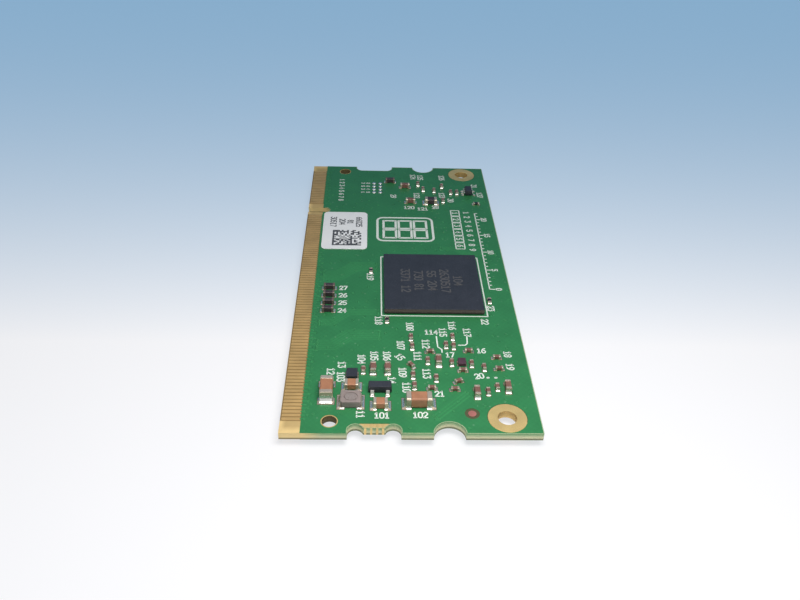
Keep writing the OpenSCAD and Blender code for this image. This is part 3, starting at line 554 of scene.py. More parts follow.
FINISHES = {
    "solder_mask": recipe(mask_finish, "Solder mask", "mask", shine=0.35),
    "copper_mask": recipe(mask_finish, "Mask on copper", "copper_mask", shine=0.22),
    "laminate": recipe(laminate_finish, "Laminate", "laminate"),
    "gold": recipe(metal_finish, "Contact gold", "gold", rough=0.26, stretch=16.0, metallic=0.3),
    "ring_gold": recipe(metal_finish, "Ring gold", "ring_gold", rough=0.3, metallic=0.45),
    "copper": recipe(metal_finish, "Bare copper", "copper", rough=0.34, metallic=0.5),
    "tin_ends": recipe(metal_finish, "Tinned ends", "tin", rough=0.26, bump=0.3, metallic=0.6),
    "dull_ends": recipe(metal_finish, "Dull ends", "dull_tin", rough=0.4, bump=0.3, metallic=0.4),
    "bright_leads": recipe(metal_finish, "Bright leads", "solder", rough=0.3, metallic=0.5),
    "solder": recipe(metal_finish, "Solder", "solder", rough=0.16, uneven=0.16, bump=0.2, metallic=0.85),
    "lid_metal": recipe(metal_finish, "Crystal lid", "lid", rough=0.2, stretch=12.0),
    # Painted highlight along the top edge of the board's outline
    "rim": recipe(ink_finish, "Routed rim", "laminate", base="mask", wear=0.9),
    "legend_white": recipe(ink_finish, "Legend ink", "ink", base="mask", wear=0.12),
    "print_black": recipe(ink_finish, "Label print", "print_black", base="label", wear=0.14),
    "package_mark": recipe(ink_finish, "Package mark", "mark", base="mould", wear=0.5),
    "label_white": recipe(grain_finish, "Label face", "label", rough=0.46, flecks=(206, 208, 222), share=0.1,
                          scale=7000.0, bump=0.08, cloud=0.03),
    "package_mould": recipe(mould_finish, "Package mould", "mould", sawn="sawn"),
    "package_black": recipe(grain_finish, "Moulding compound", "mould", rough=0.5, flecks=(96, 98, 106),
                            share=0.28),
    "package_plum": recipe(grain_finish, "Plum mould", "plum", rough=0.45, flecks=(110, 84, 92), share=0.2),
    # Substrate's own colour, darkened further as painted shade round the packages
    "package_substrate": recipe(grain_finish, "Package substrate", "substrate", rough=0.5,
                                flecks=(120, 130, 90), share=0.2),
    "ceramic_brown": recipe(grain_finish, "Large ceramic", "ceramic_brown", rough=0.42,
                            flecks=(206, 156, 112), share=0.3),
    "ceramic_red": recipe(grain_finish, "Small ceramic", "ceramic_red", rough=0.44, flecks=(182, 128, 106),
                          share=0.3),
    "ferrite": recipe(grain_finish, "Ferrite", "ferrite", rough=0.48, flecks=(92, 84, 84), share=0.3),
    "resistor_black": recipe(grain_finish, "Resistor glaze", "resistor", rough=0.34, flecks=(70, 70, 76),
                             share=0.1),
    "inductor_grey": recipe(grain_finish, "Pressed core", "inductor", rough=0.55, flecks=(172, 158, 156),
                            share=0.4),
    "resin_grey": recipe(grain_finish, "Winding resin", "resin", rough=0.3, flecks=(176, 160, 158),
                         share=0.2, scale=5000.0, bump=0.3),
    "crystal_ceramic": recipe(grain_finish, "Crystal base", "crystal", rough=0.5, flecks=(96, 86, 80),
                              share=0.2),
}
MADE_FINISHES = {}


def finish_for(name):
    """Material of a named finish, made when it is first asked for."""
    if name not in MADE_FINISHES:
        maker, material, colour_name, values = FINISHES[name]
        MADE_FINISHES[name] = maker(material, chosen(colour_name), **values)
    return MADE_FINISHES[name]


# Mesh helpers


def dress_node(node_name, finish_name):
    """Gives a CAD node that keeps its own shape a finish."""
    node = NODES[node_name]
    if not node.material_slots:
        raise RuntimeError(f"{node_name} has no material slot")
    for slot in node.material_slots:
        slot.link = "OBJECT"
        slot.material = finish_for(finish_name)


def new_object(name, data):
    thing = bpy.data.objects.new(name, data)
    bpy.context.scene.collection.objects.link(thing)
    return thing


def settle(piece):
    """Turns a piece's modifiers into a plain mesh."""
    depsgraph = bpy.context.evaluated_depsgraph_get()
    mesh = bpy.data.meshes.new_from_object(piece.evaluated_get(depsgraph), depsgraph=depsgraph)
    piece.modifiers.clear()
    piece.data = mesh
    mesh.name = piece.name


def hand_over(piece, finish_name, *replaced):
    """Hangs a finished piece on the root body and hides the CAD nodes that it stands for. The finish's name
    is not used.
    """
    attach(piece, "root")
    if replaced:
        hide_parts(*replaced)


def merged(node_name):
    """Copy of a CAD node's shape with its corners merged."""
    shape = bmesh.new()
    shape.from_mesh(NODES[node_name].data)
    bmesh.ops.remove_doubles(shape, verts=shape.verts, dist=WELD)
    return shape


def welded(node_name):
    """Copy of a CAD node's shape with its corners merged and its flat faces whole."""
    shape = merged(node_name)
    bmesh.ops.dissolve_limit(shape, angle_limit=math.radians(1), verts=shape.verts, edges=shape.edges)
    return shape


def mesh_from(shape, name, material):
    """Smooth-shaded mesh with one material from a shape under way."""
    mesh = bpy.data.meshes.new(name)
    for face in shape.faces:
        face.smooth = True
        face.material_index = 0
    shape.to_mesh(mesh)
    shape.free()
    if "custom_normal" in mesh.attributes:
        mesh.attributes.remove(mesh.attributes["custom_normal"])
    mesh.materials.clear()
    mesh.materials.append(material)
    return mesh


def rounded_copy(node_name, finish_name, radius):
    """Stands in for a CAD node with the same form and its edges rounded by a radius in mm."""
    mesh = mesh_from(welded(node_name), node_name, finish_for(finish_name))
    piece = new_object(f"{node_name}_rounded", mesh)
    bevel = piece.modifiers.new("Rounded edges", "BEVEL")
    bevel.width = radius * MM
    bevel.segments = 2
    bevel.limit_method = "ANGLE"
    bevel.angle_limit = math.radians(32)
    bevel.use_clamp_overlap = False
    bevel.harden_normals = True
    settle(piece)
    hand_over(piece, finish_name, node_name)


def spanned(first, allowed):
    """Every corner that is reached from a first one along the allowed edges."""
    found = {first}
    waiting = [first]
    while waiting:
        corner = waiting.pop()
        for edge in corner.link_edges:
            other = edge.other_vert(corner)
            if edge in allowed and other not in found:
                found.add(other)
                waiting.append(other)
    return found


def islands(node_name):
    """Lowest and highest corner of each separate solid in a CAD node, from near to far."""
    shape = merged(node_name)
    edges = set(shape.edges)
    seen = set()
    boxes = []
    for first in shape.verts:
        if first in seen:
            continue
        solid = spanned(first, edges)
        seen |= solid
        low = Vector(min(corner.co[axis] for corner in solid) for axis in range(3))
        high = Vector(max(corner.co[axis] for corner in solid) for axis in range(3))
        boxes.append((low, high))
    shape.free()
    return sorted(boxes, key=lambda box: (round(box[0].y, 6), round(box[0].x, 6)))


def foot_middles(boxes):
    """Middle of each box, at its foot."""
    return [((low.x + high.x) / 2, (low.y + high.y) / 2, low.z) for low, high in boxes]


def contact_rows():
    """Near and far limit of each group of contacts along the card edge."""
    rows = []
    for low, high in islands("edge_contacts_top"):
        if rows and low.y - rows[-1][1] < MM:
            rows[-1][1] = high.y
        else:
            rows.append([low.y, high.y])
    return rows


def is_upright(face):
    return abs(face.normal.z) < 0.1


# Geometry node trees

# Kinds of the named inputs that aren't plain values
INPUT_KINDS = {
    "Geometry": "Geometry", "Material": "Material", "Obstacles": "Object", "Cells": "Int", "Seed": "Int",
}


def geometry_tree(name, *inputs):
    """New geometry tree with its named inputs: the tree, its inner inputs and its inner output."""
    tree = bpy.data.node_groups.new(name, "GeometryNodeTree")
    for label in ("Geometry", *inputs, "Material"):
        kind = INPUT_KINDS.get(label, "Float")
        tree.interface.new_socket(label, in_out="INPUT", socket_type=f"NodeSocket{kind}")
    tree.interface.new_socket("Geometry", in_out="OUTPUT", socket_type="NodeSocketGeometry")
    return tree, add(tree, "NodeGroupInput").outputs, add(tree, "NodeGroupOutput").inputs


def geo(tree, kind, inputs=None, **settings):
    """First output of a new geometry node."""
    return out(tree, f"GeometryNode{kind}", inputs, **settings)


def joined(tree, *parts):
    join = add(tree, "GeometryNodeJoinGeometry")
    for part in reversed(parts):
        tree.links.new(part, join.inputs[0])
    return join.outputs[0]


def on_points(tree, points, shape):
    return geo(tree, "InstanceOnPoints", {"Points": points, "Instance": shape})


def flattened(tree, shape, share):
    """Shape whose height is brought down to a share of itself."""
    return geo(tree, "Transform", {"Geometry": shape, "Scale": vector_of(tree, 1.0, 1.0, share)})


def close_tree(tree, given, result, *parts):
    """Ends a tree: joins its parts, makes them real and gives them their material."""
    real = geo(tree, "RealizeInstances", {"Geometry": joined(tree, *parts)})
    coated = geo(tree, "SetMaterial", {"Geometry": real, "Material": given["Material"]})
    tree.links.new(coated, result["Geometry"])
    return tree


def contact_tree():
    """Row of flat contacts with rounded corners, one on each point."""
    tree, given, result = geometry_tree("Contact row", "Length", "Width", "Thickness", "Corner")
    outline = geo(tree, "CurvePrimitiveQuadrilateral", {"Width": given["Length"], "Height": given["Width"]})
    inputs = {"Curve": outline, "Count": 3, "Radius": given["Corner"]}
    base = geo(tree, "FillCurve", {"Curve": geo(tree, "FilletCurve", inputs, mode="POLY")}, mode="NGONS")
    inputs = {"Mesh": base, "Offset Scale": given["Thickness"], "Individual": False}
    raised = geo(tree, "ExtrudeMesh", inputs)
    closed = joined(tree, geo(tree, "FlipFaces", {"Mesh": base}), raised)
    contact = geo(tree, "MergeByDistance", {"Geometry": closed, "Distance": WELD})
    return close_tree(tree, given, result, on_points(tree, given["Geometry"], contact))


def ribbon_tree():
    """Flat lines along the edges of a mesh, with round ends and corners."""
    tree, given, result = geometry_tree("Flat lines", "Width", "Thickness")
    paths = geo(tree, "MeshToCurve", {"Mesh": given["Geometry"]})
    level = geo(tree, "SetCurveNormal", {"Curve": paths}, mode="Z_UP")
    size = {"Width": given["Width"], "Height": given["Thickness"]}
    section = geo(tree, "CurvePrimitiveQuadrilateral", size)
    lines = geo(tree, "CurveToMesh", {"Curve": level, "Profile Curve": section, "Fill Caps": True})
    flat = geo(tree, "SetShadeSmooth", {"Geometry": lines, "Shade Smooth": False})
    disc = geo(tree, "MeshCylinder", {"Vertices": 10, "Radius": times(tree, given["Width"], 0.5),
                                      "Depth": times(tree, given["Thickness"], 0.96)})
    corners = geo(tree, "MergeByDistance", {"Geometry": given["Geometry"], "Distance": WELD})
    return close_tree(tree, given, result, flat, on_points(tree, corners, disc))


def via_ring(tree, given):
    """Low ring of mask over a via's pad, with its bore sunk in the middle."""
    half_section = times(tree, given["Diameter"], 0.17)
    middle = {"Resolution": 10, "Radius": times(tree, given["Diameter"], 0.33)}
    section = geo(tree, "CurvePrimitiveCircle", {"Resolution": 5, "Radius": half_section})
    path = geo(tree, "CurvePrimitiveCircle", middle)
    ring = geo(tree, "CurveToMesh", {"Curve": path, "Profile Curve": section})
    return flattened(tree, ring, over(tree, given["Rise"], half_section))


def scattered_via_tree():
    """Scattered mask-covered vias, kept clear of whatever stands on the face."""
    tree, given, result = geometry_tree("Scattered vias", "Obstacles", "Clearance", "Spacing", "Density",
                                        "Seed", "Diameter", "Rise")
    inputs = {"Mesh": given["Geometry"], "Distance Min": given["Spacing"], "Density Max": given["Density"],
              "Seed": given["Seed"]}
    points = geo(tree, "DistributePointsOnFaces", inputs, distribute_method="POISSON")
    obstacles = add(tree, "GeometryNodeObjectInfo", {"Object": given["Obstacles"]}).outputs["Geometry"]
    near = add(tree, "GeometryNodeProximity", {"Geometry": obstacles}, target_element="FACES")
    blocked = maths(tree, "LESS_THAN", near.outputs["Distance"], given["Clearance"])
    free = geo(tree, "DeleteGeometry", {"Geometry": points, "Selection": blocked})
    return close_tree(tree, given, result, on_points(tree, free, via_ring(tree, given)))


def placed_via_tree():
    """Mask-covered vias on given points."""
    tree, given, result = geometry_tree("Placed vias", "Diameter", "Rise")
    return close_tree(tree, given, result, on_points(tree, given["Geometry"], via_ring(tree, given)))


def dome_tree():
    """Low domes of solder on given points."""
    tree, given, result = geometry_tree("Solder domes", "Diameter", "Rise")
    radius = times(tree, given["Diameter"], 0.5)
    ball = geo(tree, "MeshUVSphere", {"Segments": 20, "Rings": 10, "Radius": radius})
    dome = flattened(tree, ball, over(tree, given["Rise"], radius))
    smooth = geo(tree, "SetShadeSmooth", {"Geometry": dome})
    return close_tree(tree, given, result, on_points(tree, given["Geometry"], smooth))


def code_tree():
    """Square pattern of seeded cells with two whole edges, centred on its one point."""
    tree, given, result = geometry_tree("Square code", "Side", "Cells", "Thickness", "Seed")
    cells = given["Cells"]
    pitch = over(tree, given["Side"], cells)
    span = minus(tree, given["Side"], pitch)
    grid = geo(tree, "MeshGrid", {"Size X": span, "Size Y": span, "Vertices X": cells, "Vertices Y": cells})
    index = geo(tree, "InputIndex")
    column = maths(tree, "FLOOR", over(tree, index, cells))
    row = maths(tree, "MODULO", index, cells)
    edge = maths(tree, "LESS_THAN", maths(tree, "MINIMUM", column, row), 0.5)
    chance = add(tree, "FunctionNodeRandomValue", {"Probability": 0.5, "ID": index, "Seed": given["Seed"]},
                 data_type="BOOLEAN")
    drawn = next(socket for socket in chance.outputs if socket.enabled)
    side = times(tree, pitch, 0.99)
    cell = geo(tree, "MeshCube", {"Size": vector_of(tree, side, side, given["Thickness"])})
    inputs = {"Points": grid, "Selection": maths(tree, "MAXIMUM", edge, drawn), "Instance": cell}
    pattern = geo(tree, "InstanceOnPoints", inputs)
    return close_tree(tree, given, result, on_points(tree, given["Geometry"], pattern))


GROUP_MAKERS = {
    "Grain": grain_group, "Glass weave": weave_group, "Flecks": flecks_group, "Wipes": wipes_group,
    "Contact row": contact_tree, "Flat lines": ribbon_tree, "Scattered vias": scattered_via_tree,
    "Placed vias": placed_via_tree, "Solder domes": dome_tree, "Square code": code_tree,
}


def group_named(name):
    """Shader group or geometry tree of that name, made when it is first asked for."""
    return bpy.data.node_groups.get(name) or GROUP_MAKERS[name]()


def wire_piece(name, corners, edges=()):
    """Piece that so far holds only points, or lines between them."""
    mesh = bpy.data.meshes.new(name)
    mesh.from_pydata([tuple(corner) for corner in corners], edges, [])
    return new_object(name, mesh)


def grow(piece, tree_name, finish_name, *replaced, **values):
    """Runs a geometry tree on a piece with named inputs, keeps the result as its mesh and hands it over."""
    tree = group_named(tree_name)
    values["Material"] = finish_for(finish_name)
    modifier = piece.modifiers.new(tree_name, "NODES")
    modifier.node_group = tree
    for socket in tree.interface.items_tree:
        if socket.in_out == "INPUT" and socket.name in values:
            modifier[socket.identifier] = values[socket.name]
    settle(piece)
    shape = bmesh.new()
    shape.from_mesh(piece.data)
    bmesh.ops.recalc_face_normals(shape, faces=shape.faces)
    shape.to_mesh(piece.data)
    shape.free()
    hand_over(piece, finish_name, *replaced)


def lines_piece(name, routes, level, width, thickness, finish_name, upward=True):
    """Flat lines along routes of (u, v) places in mm, lying on the face at a level."""
    middle = level + (thickness / 2 if upward else -thickness / 2)
    stretches = [ends for route in routes for ends in zip(route, route[1:])]
    corners = [on_board(u, v, middle) for ends in stretches for u, v in ends]
    edges = [(first, first + 1) for first in range(0, len(corners), 2)]
    grow(wire_piece(name, corners, edges), "Flat lines", finish_name, Width=width, Thickness=thickness)


# Routes of printed lines, and plain numbers drawn as strokes in a box one wide and one and a half high

DIGIT_ASPECT = 1.5
# Width of a digit's box as a share of its natural one, and the step to the next digit as a share of that
DIGIT_NARROWING = 0.78
DIGIT_STEP = 1.36
DIGITS = {
    "0": [[(0, .3), (.3, 0), (.7, 0), (1, .3), (1, 1.2), (.7, 1.5), (.3, 1.5), (0, 1.2), (0, .3)]],
    "1": [[(.15, 1.15), (.5, 1.5), (.5, 0)], [(.15, 0), (.85, 0)]],
    "2": [[(0, 1.2), (.3, 1.5), (.7, 1.5), (1, 1.2), (1, .95), (0, 0), (1, 0)]],
    "3": [[(0, 1.5), (1, 1.5), (.45, .9), (.75, .9), (1, .65), (1, .3), (.7, 0), (.3, 0), (0, .25)]],
    "4": [[(.75, 0), (.75, 1.5), (0, .5), (1, .5)]],
    "5": [[(.95, 1.5), (.1, 1.5), (0, .85), (.65, .9), (1, .6), (1, .3), (.7, 0), (.3, 0), (0, .25)]],
    "6": [[(.85, 1.5), (.35, 1.25), (0, .7), (0, .3), (.3, 0), (.7, 0), (1, .3), (1, .6), (.7, .85),
           (.1, .75)]],
    "7": [[(0, 1.5), (1, 1.5), (.35, 0)]],
    "8": [[(.3, .8), (0, 1.1), (.3, 1.5), (.7, 1.5), (1, 1.1), (.7, .8), (.3, .8), (0, .4), (.3, 0), (.7, 0),
           (1, .4), (.7, .8)]],
    "9": [[(.15, 0), (.65, .25), (1, .8), (1, 1.2), (.7, 1.5), (.3, 1.5), (0, 1.2), (0, .9), (.3, .65),
           (.9, .75)]],
}


def number_routes(number, u, v, height, turn=-90, from_below=False):
    """Strokes of a plain number centred on a place, turned in degrees, mirrored if it is read from below."""
    width = height / DIGIT_ASPECT * DIGIT_NARROWING
    advance = width * DIGIT_STEP
    start = -(advance * (len(number) - 1) + width) / 2
    cosine, sine = math.cos(math.radians(turn)), math.sin(math.radians(turn))
    side = -1 if from_below else 1
    routes = []
    for place, digit in enumerate(number):
        for stroke in DIGITS.get(digit, ()):
            route = []
            for across, up in stroke:
                x = side * (start + place * advance + across * width)
                y = (up / DIGIT_ASPECT - 0.5) * height
                route.append((u + x * cosine - y * sine, v + x * sine + y * cosine))
            routes.append(route)
    return routes


def row_routes(u, first, step, numbers, height):
    """Strokes of plain numbers in a row along v."""
    routes = []
    for place, number in enumerate(numbers):
        routes += number_routes(str(number), u, first + place * step, height)
    return routes


def box_route(low_u, low_v, high_u, high_v):
    return [(low_u, low_v), (high_u, low_v), (high_u, high_v), (low_u, high_v), (low_u, low_v)]


def arc_route(u, v, radius, first, last, steps=12):
    """Arc round a place, from one angle to another in degrees."""
    angles = [math.radians(first + (last - first) * step / steps) for step in range(steps + 1)]
    return [(u + radius * math.cos(turn), v + radius * math.sin(turn)) for turn in angles]


# Board

BOARD_FINISHES = {
    "circuit_board": "laminate",
    "tab_strips_gold": "ring_gold",
    "fiducial_dot": "copper",
    "lands_top": "tin_ends",
    "lands_underside": "tin_ends",
    "solder_mask_top": "solder_mask",
    "solder_mask_underside": "solder_mask",
}
# Height of the painted highlight line along the rim above the mask, and edge radius of the rings in mm
RIM_RISE = 0.0025 * MM
RING_EDGE = 0.012


def outer_rim(shape):
    """Edges of a board's outer outline on its upper face."""
    rim = {edge for edge in shape.edges
           if any(is_upright(face) for face in edge.link_faces)
           and any(face.normal.z > 0.9 for face in edge.link_faces)}
    rearmost = max((corner for edge in rim for corner in edge.verts), key=lambda corner: corner.co.x)
    outline = spanned(rearmost, rim)
    return [edge for edge in rim if edge.verts[0] in outline]


def rim_routes(inset):
    """Short routes along the board's outer rim, where mask covers it, set in from the cut edge."""
    mask_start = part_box("solder_mask_top")[0].x - BOARD_LOW.x
    shape = welded("circuit_board")
    shape.normal_update()
    routes = []
    for edge in outer_rim(shape):
        route = []
        for corner in edge.verts:
            outward = sum((face.normal for face in corner.link_faces if is_upright(face)), Vector())
            route.append(place_of(corner.co - outward.normalized() * inset))
        if min(route)[0] * MM > mask_start:
            routes.append(route)
    shape.free()
    return sorted(routes)


class MODULE_OT_board(bpy.types.Operator):
    """Finishes the laminate, the solder mask and the bare metal of the board"""

    bl_idname = "module.board"
    bl_label = "Board and mask"

    def execute(self, context):
        for node_name, finish_name in BOARD_FINISHES.items():
            dress_node(node_name, finish_name)
        width = context.scene.module_board.rim
        # Painted highlight: a pale line laid along the top edge of the outline
        lines_piece("board_rim", rim_routes(width / 2), MASK_TOP, width, RIM_RISE, "rim")
        rounded_copy("mounting_hole_plating", "ring_gold", RING_EDGE)
        return {"FINISHED"}


# Radius of a contact's corners
CONTACT_CORNER = 0.1 * MM


class MODULE_OT_contacts(bpy.types.Operator):
    """Lays the gold contacts along both faces of the card edge"""

    bl_idname = "module.contacts"
    bl_label = "Edge contacts"

    def execute(self, context):
        for node_name in ("edge_contacts_top", "edge_contacts_underside"):
            boxes = islands(node_name)
            size = boxes[0][1] - boxes[0][0]
            grow(wire_piece(f"{node_name}_row", foot_middles(boxes)), "Contact row", "gold", node_name,
                 Length=size.x, Width=size.y, Thickness=size.z, Corner=CONTACT_CORNER)
        return {"FINISHED"}


# Faces of the board: level of the mask, whether it looks up, and what covers it
FACES = {
    "top": (MASK_TOP, True, ("processor_substrate", "label_sticker")),
    "underside": (MASK_UNDER, False, ("memory_substrate", "flash_substrate")),
}
# Bundles of traces as start, u of the first bend, end, number and pitch, in mm
BUNDLES = {
    "top": (
        ((3.6, 31.0), 6.2, (11.4, 33.4), 7, 0.36),
        ((3.6, 20.2), 5.4, (11.6, 22.6), 4, 0.36),
        ((3.6, 15.0), 6.0, (11.8, 17.2), 6, 0.38),
        ((21.5, 39.5), 23.6, (30.0, 38.0), 3, 0.36),
        ((24.0, 53.2), 25.4, (30.2, 54.6), 3, 0.4),
    ),
    "underside": (
        ((3.6, 22.0), 5.0, (9.6, 25.0), 9, 0.4),
        ((3.6, 46.0), 5.2, (10.2, 48.4), 8, 0.4),
        ((3.6, 12.0), 7.0, (16.0, 14.6), 6, 0.4),
        ((21.5, 40.2), 22.5, (28.5, 41.8), 4, 0.4),
    ),
}
# Single traces: three straight ones behind the tab on top, and two arcs round its notch underneath
LONE_TRACES = {
    "top": [[(18.2 + shift, 2.9 - shift), (22.4 + shift, 7.1 - shift)] for shift in (0.0, 0.3, 0.6)],
    "underside": [arc_route(20.0, 0.0, radius, 40, 140) for radius in (2.9, 3.35)],
}
# Lengths in mm of the short traces past the contacts, in turn
STUB_LENGTHS = (0.4, 0.78)
# Most vias to a square metre before they are thinned by their spacing
VIA_DENSITY = 1.2e6


def contact_stubs(node_name):
    """Short traces from the contacts to staggered vias."""
    routes = []
    for index, (low, high) in enumerate(islands(node_name)):
        start, v = place_of(Vector((high.x, (low.y + high.y) / 2)))
        routes.append([(start, v), (start + STUB_LENGTHS[index % 2], v)])
    return routes


def bundle(start, turn, end, count, pitch):
    """Parallel traces that run along u, jog at 45 degrees and run on."""
    rise = end[1] - start[1]
    routes = []
    for shift in (index * pitch for index in range(count)):
        bend = turn - math.copysign(shift, rise) * math.tan(math.pi / 8)
        near, far = start[1] + shift, end[1] + shift
        routes.append([(start[0], near), (bend, near), (bend + abs(rise), near + rise), (end[0], far)])
    return routes


def flat_faces(node_name, upward):
    """The faces of a node that look up, or down."""
    shape = welded(node_name)
    shape.normal_update()
    sign = 1 if upward else -1
    other = [face for face in shape.faces if face.normal.z * sign < 0.9]
    bmesh.ops.delete(shape, geom=other, context="FACES")
    return shape


def obstacle_mesh(mask, covers):
    """What scattered vias keep clear of: the cut edges and openings of a mask, and what covers it."""
    shape = bmesh.new()
    shape.from_mesh(NODES[mask].data)
    shape.normal_update()
    level = [face for face in shape.faces if not is_upright(face)]
    bmesh.ops.delete(shape, geom=level, context="FACES")
    for cover in covers:
        shape.from_mesh(NODES[cover].data)
    mesh = bpy.data.meshes.new("via_obstacles")
    shape.to_mesh(mesh)
    shape.free()
    return mesh


class MODULE_OT_traces(bpy.types.Operator):
    """Raises the traces and the vias that show through the solder mask"""

    bl_idname = "module.traces"
    bl_label = "Traces and vias"

    def execute(self, context):
        settings = context.scene.module_board
        via = {"Diameter": settings.via_diameter, "Rise": settings.via_rise}
        for side, (level, upward, covers) in FACES.items():
            stubs = contact_stubs(f"edge_contacts_{side}")
            routes = [route for values in BUNDLES[side] for route in bundle(*values)] + LONE_TRACES[side]
            lines_piece(f"traces_{side}", stubs + routes, level, settings.trace_width, settings.trace_rise,
                        "copper_mask", upward)
            ends = [route[-1] for route in stubs] + [route[end] for end in (0, -1) for route in routes]
            places = [on_board(u, v, level) for u, v in ends]
            grow(wire_piece(f"trace_vias_{side}", places), "Placed vias", "copper_mask", **via)
            mask = f"solder_mask_{side}"
            face = mesh_from(flat_faces(mask, upward), f"vias_{side}", finish_for("copper_mask"))
            blocked = new_object("via_obstacles", obstacle_mesh(mask, covers))
            grow(new_object(f"vias_{side}", face), "Scattered vias", "copper_mask", Obstacles=blocked,
                 Clearance=settings.via_clearance, Spacing=settings.via_spacing, Density=VIA_DENSITY,
                 Seed=settings.via_seed, **via)
            bpy.data.objects.remove(blocked)
        return {"FINISHED"}


# Legend, with its places in mm

# Part numbers as u, v, how many digits and turn, and the first number of each length
NUMBER_PLACES = (
    (12.0, 2.9, 3, 0), (16.6, 3.0, 3, 0), (9.45, 3.05, 2, -90), (5.6, 10.7, 2, -90), (6.9, 9.7, 3, -90),
    (6.95, 12.0, 2, -90), (9.45, 13.1, 3, -90), (11.1, 13.8, 3, -90), (12.75, 13.8, 3, -90),
    (13.3, 9.1, 2, -90), (14.4, 13.6, 2, -55), (14.6, 16.0, 3, -90), (15.95, 20.0, 3, -90),
    (14.7, 10.6, 3, -90), (15.1, 7.8, 3, -90), (16.75, 13.8, 3, -90), (17.95, 16.3, 3, -90),
    (17.75, 10.4, 3, -90), (18.8, 18.8, 3, 0), (20.4, 18.8, 3, -90), (21.75, 20.3, 3, -90),
    (23.7, 18.8, 3, -90), (25.2, 15.0, 2, 0), (21.0, 14.1, 2, 0), (28.6, 14.3, 2, -90),
    (28.6, 11.8, 2, -90), (24.4, 10.0, 2, 10), (19.15, 6.7, 2, 0), (11.7, 21.3, 3, -90),
    (26.4, 21.2, 2, -90), (27.6, 24.3, 2, -90), (10.5, 31.9, 3, -90), (6.6, 23.5, 2, 0),
    (6.6, 25.3, 2, 0), (6.6, 27.1, 2, 0), (6.6, 28.9, 2, 0),
    (17.0, 52.7, 3, 0), (19.3, 52.3, 3, 0), (21.5, 52.9, 2, 0), (14.4, 56.6, 2, -90), (18.5, 57.0, 3, -90),
    (22.9, 57.2, 3, -90), (24.3, 55.4, 2, -90), (18.1, 63.9, 3, -90), (19.4, 63.7, 3, -90),
    (23.3, 63.7, 3, -90), (28.9, 60.7, 2, -90), (29.6, 57.5, 3, -90),
)
FIRST_NUMBER = {2: 11, 3: 101}
# Outline of the processor, two leaders, the ticks beside the beads and two dots
PROCESSOR_OUTLINE = (12.1, 22.4, 26.95, 37.3)
LEADERS = (
    [(19.45, 17.9), (19.5, 15.7), (20.0, 15.2), (20.0, 14.6)],
    [(23.6, 18.3), (23.5, 16.5), (23.2, 16.1), (22.3, 16.1)],
)
BEAD_TICK = (5.5, 23.1)
BEAD_COUNT, BEAD_PITCH, BEAD_TICK_LENGTH = 4, 1.8, 0.6
DOTS = ([(25.45, 9.7), (25.55, 9.7)], [(26.45, 9.7), (26.55, 9.7)])
# Frame of the write-on boxes with its corner radius, then the first box, its size and the boxes' pitch
WRITE_ON_LOW, WRITE_ON_HIGH, WRITE_ON_CORNER = (11.6, 42.0), (20.6, 49.2), 1.0
WRITE_ON_BOX, WRITE_ON_SIZE, WRITE_ON_PITCH = (12.6, 42.9), (2.0, 2.4), (2.5, 2.9)
# Ruler: its line, start and number of marks, the reach of short and long marks, the step between long ones,
# and the line and height of its numbers
RULER_LINE, RULER_START, RULER_MARKS = 28.0, 29.0, 23
RULER_SHORT, RULER_LONG, RULER_STEP = 28.4, 28.75, 5
RULER_NUMBERS, RULER_DIGITS = 29.35, 0.8
# Layer numbers that run towards the near end: u, v of the first, step and count, and half the size of a box
LAYER_ROW, LAYER_BOX = (24.7, 51.0, -2.05, 6), (0.7, 0.9)
# Rows of plain numbers beside the layers and at the far end: u, v of the first, step and numbers
COUNT_ROW = (26.6, 51.2, -1.45, range(1, 10))
FAR_ROW = (5.35, 55.0, 1.05, range(8, 0, -1))
# Pin numbers of the unfitted header: u and v of the first, and their steps
PIN_PLACE, PIN_STEP = (9.1, 57.9), (0.9, 1.1)
# Height of the pin numbers and the far row as a share of the part numbers'
PIN_DIGITS, FAR_DIGITS = 0.6, 0.85
# Numbers on the underside, and the first of them
UNDER_NUMBER_PLACES = (
    (14.85, 10.1), (10.8, 21.9), (28.2, 21.9), (19.5, 18.9), (19.5, 40.0), (7.6, 40.4), (28.2, 37.4),
    (26.0, 50.0), (6.8, 46.2), (6.8, 53.8),
)
UNDER_FIRST_NUMBER = 201
# Gap round an underside package, and the dot beside its first pin
PACKAGE_GAP = 0.45
PIN_DOT, PIN_DOT_RADIUS = (-0.6, 0.9), 0.18


def part_number_routes(height):
    """Plain running numbers beside the parts."""
    counts = dict(FIRST_NUMBER)
    routes = []
    for u, v, digits, turn in NUMBER_PLACES:
        routes += number_routes(str(counts[digits]), u, v, height, turn)
        counts[digits] += 1
    return routes


def outline_routes():
    """Outline of the processor, leaders, and ticks beside the beads."""
    u, first = BEAD_TICK
    starts = [first + BEAD_PITCH * step for step in range(BEAD_COUNT)]
    ticks = [[(u, start), (u, start + BEAD_TICK_LENGTH)] for start in starts]
    return [box_route(*PROCESSOR_OUTLINE), *LEADERS, *ticks]


def write_on_routes():
    """Empty boxes for handwritten marks, in a round-cornered frame."""
    corner = WRITE_ON_CORNER
    left, right = WRITE_ON_LOW[0] + corner, WRITE_ON_HIGH[0] - corner
    near, far = WRITE_ON_LOW[1] + corner, WRITE_ON_HIGH[1] - corner
    outline = []
    for quarter, (u, v) in enumerate(((right, far), (left, far), (left, near), (right, near))):
        outline += arc_route(u, v, corner, quarter * 90, quarter * 90 + 90, 5)
    routes = [outline + outline[:1]]
    for column in range(3):
        for row in range(2):
            u = WRITE_ON_BOX[0] + column * WRITE_ON_PITCH[0]
            v = WRITE_ON_BOX[1] + row * WRITE_ON_PITCH[1]
            routes.append(box_route(u, v, u + WRITE_ON_SIZE[0], v + WRITE_ON_SIZE[1]))
    return routes


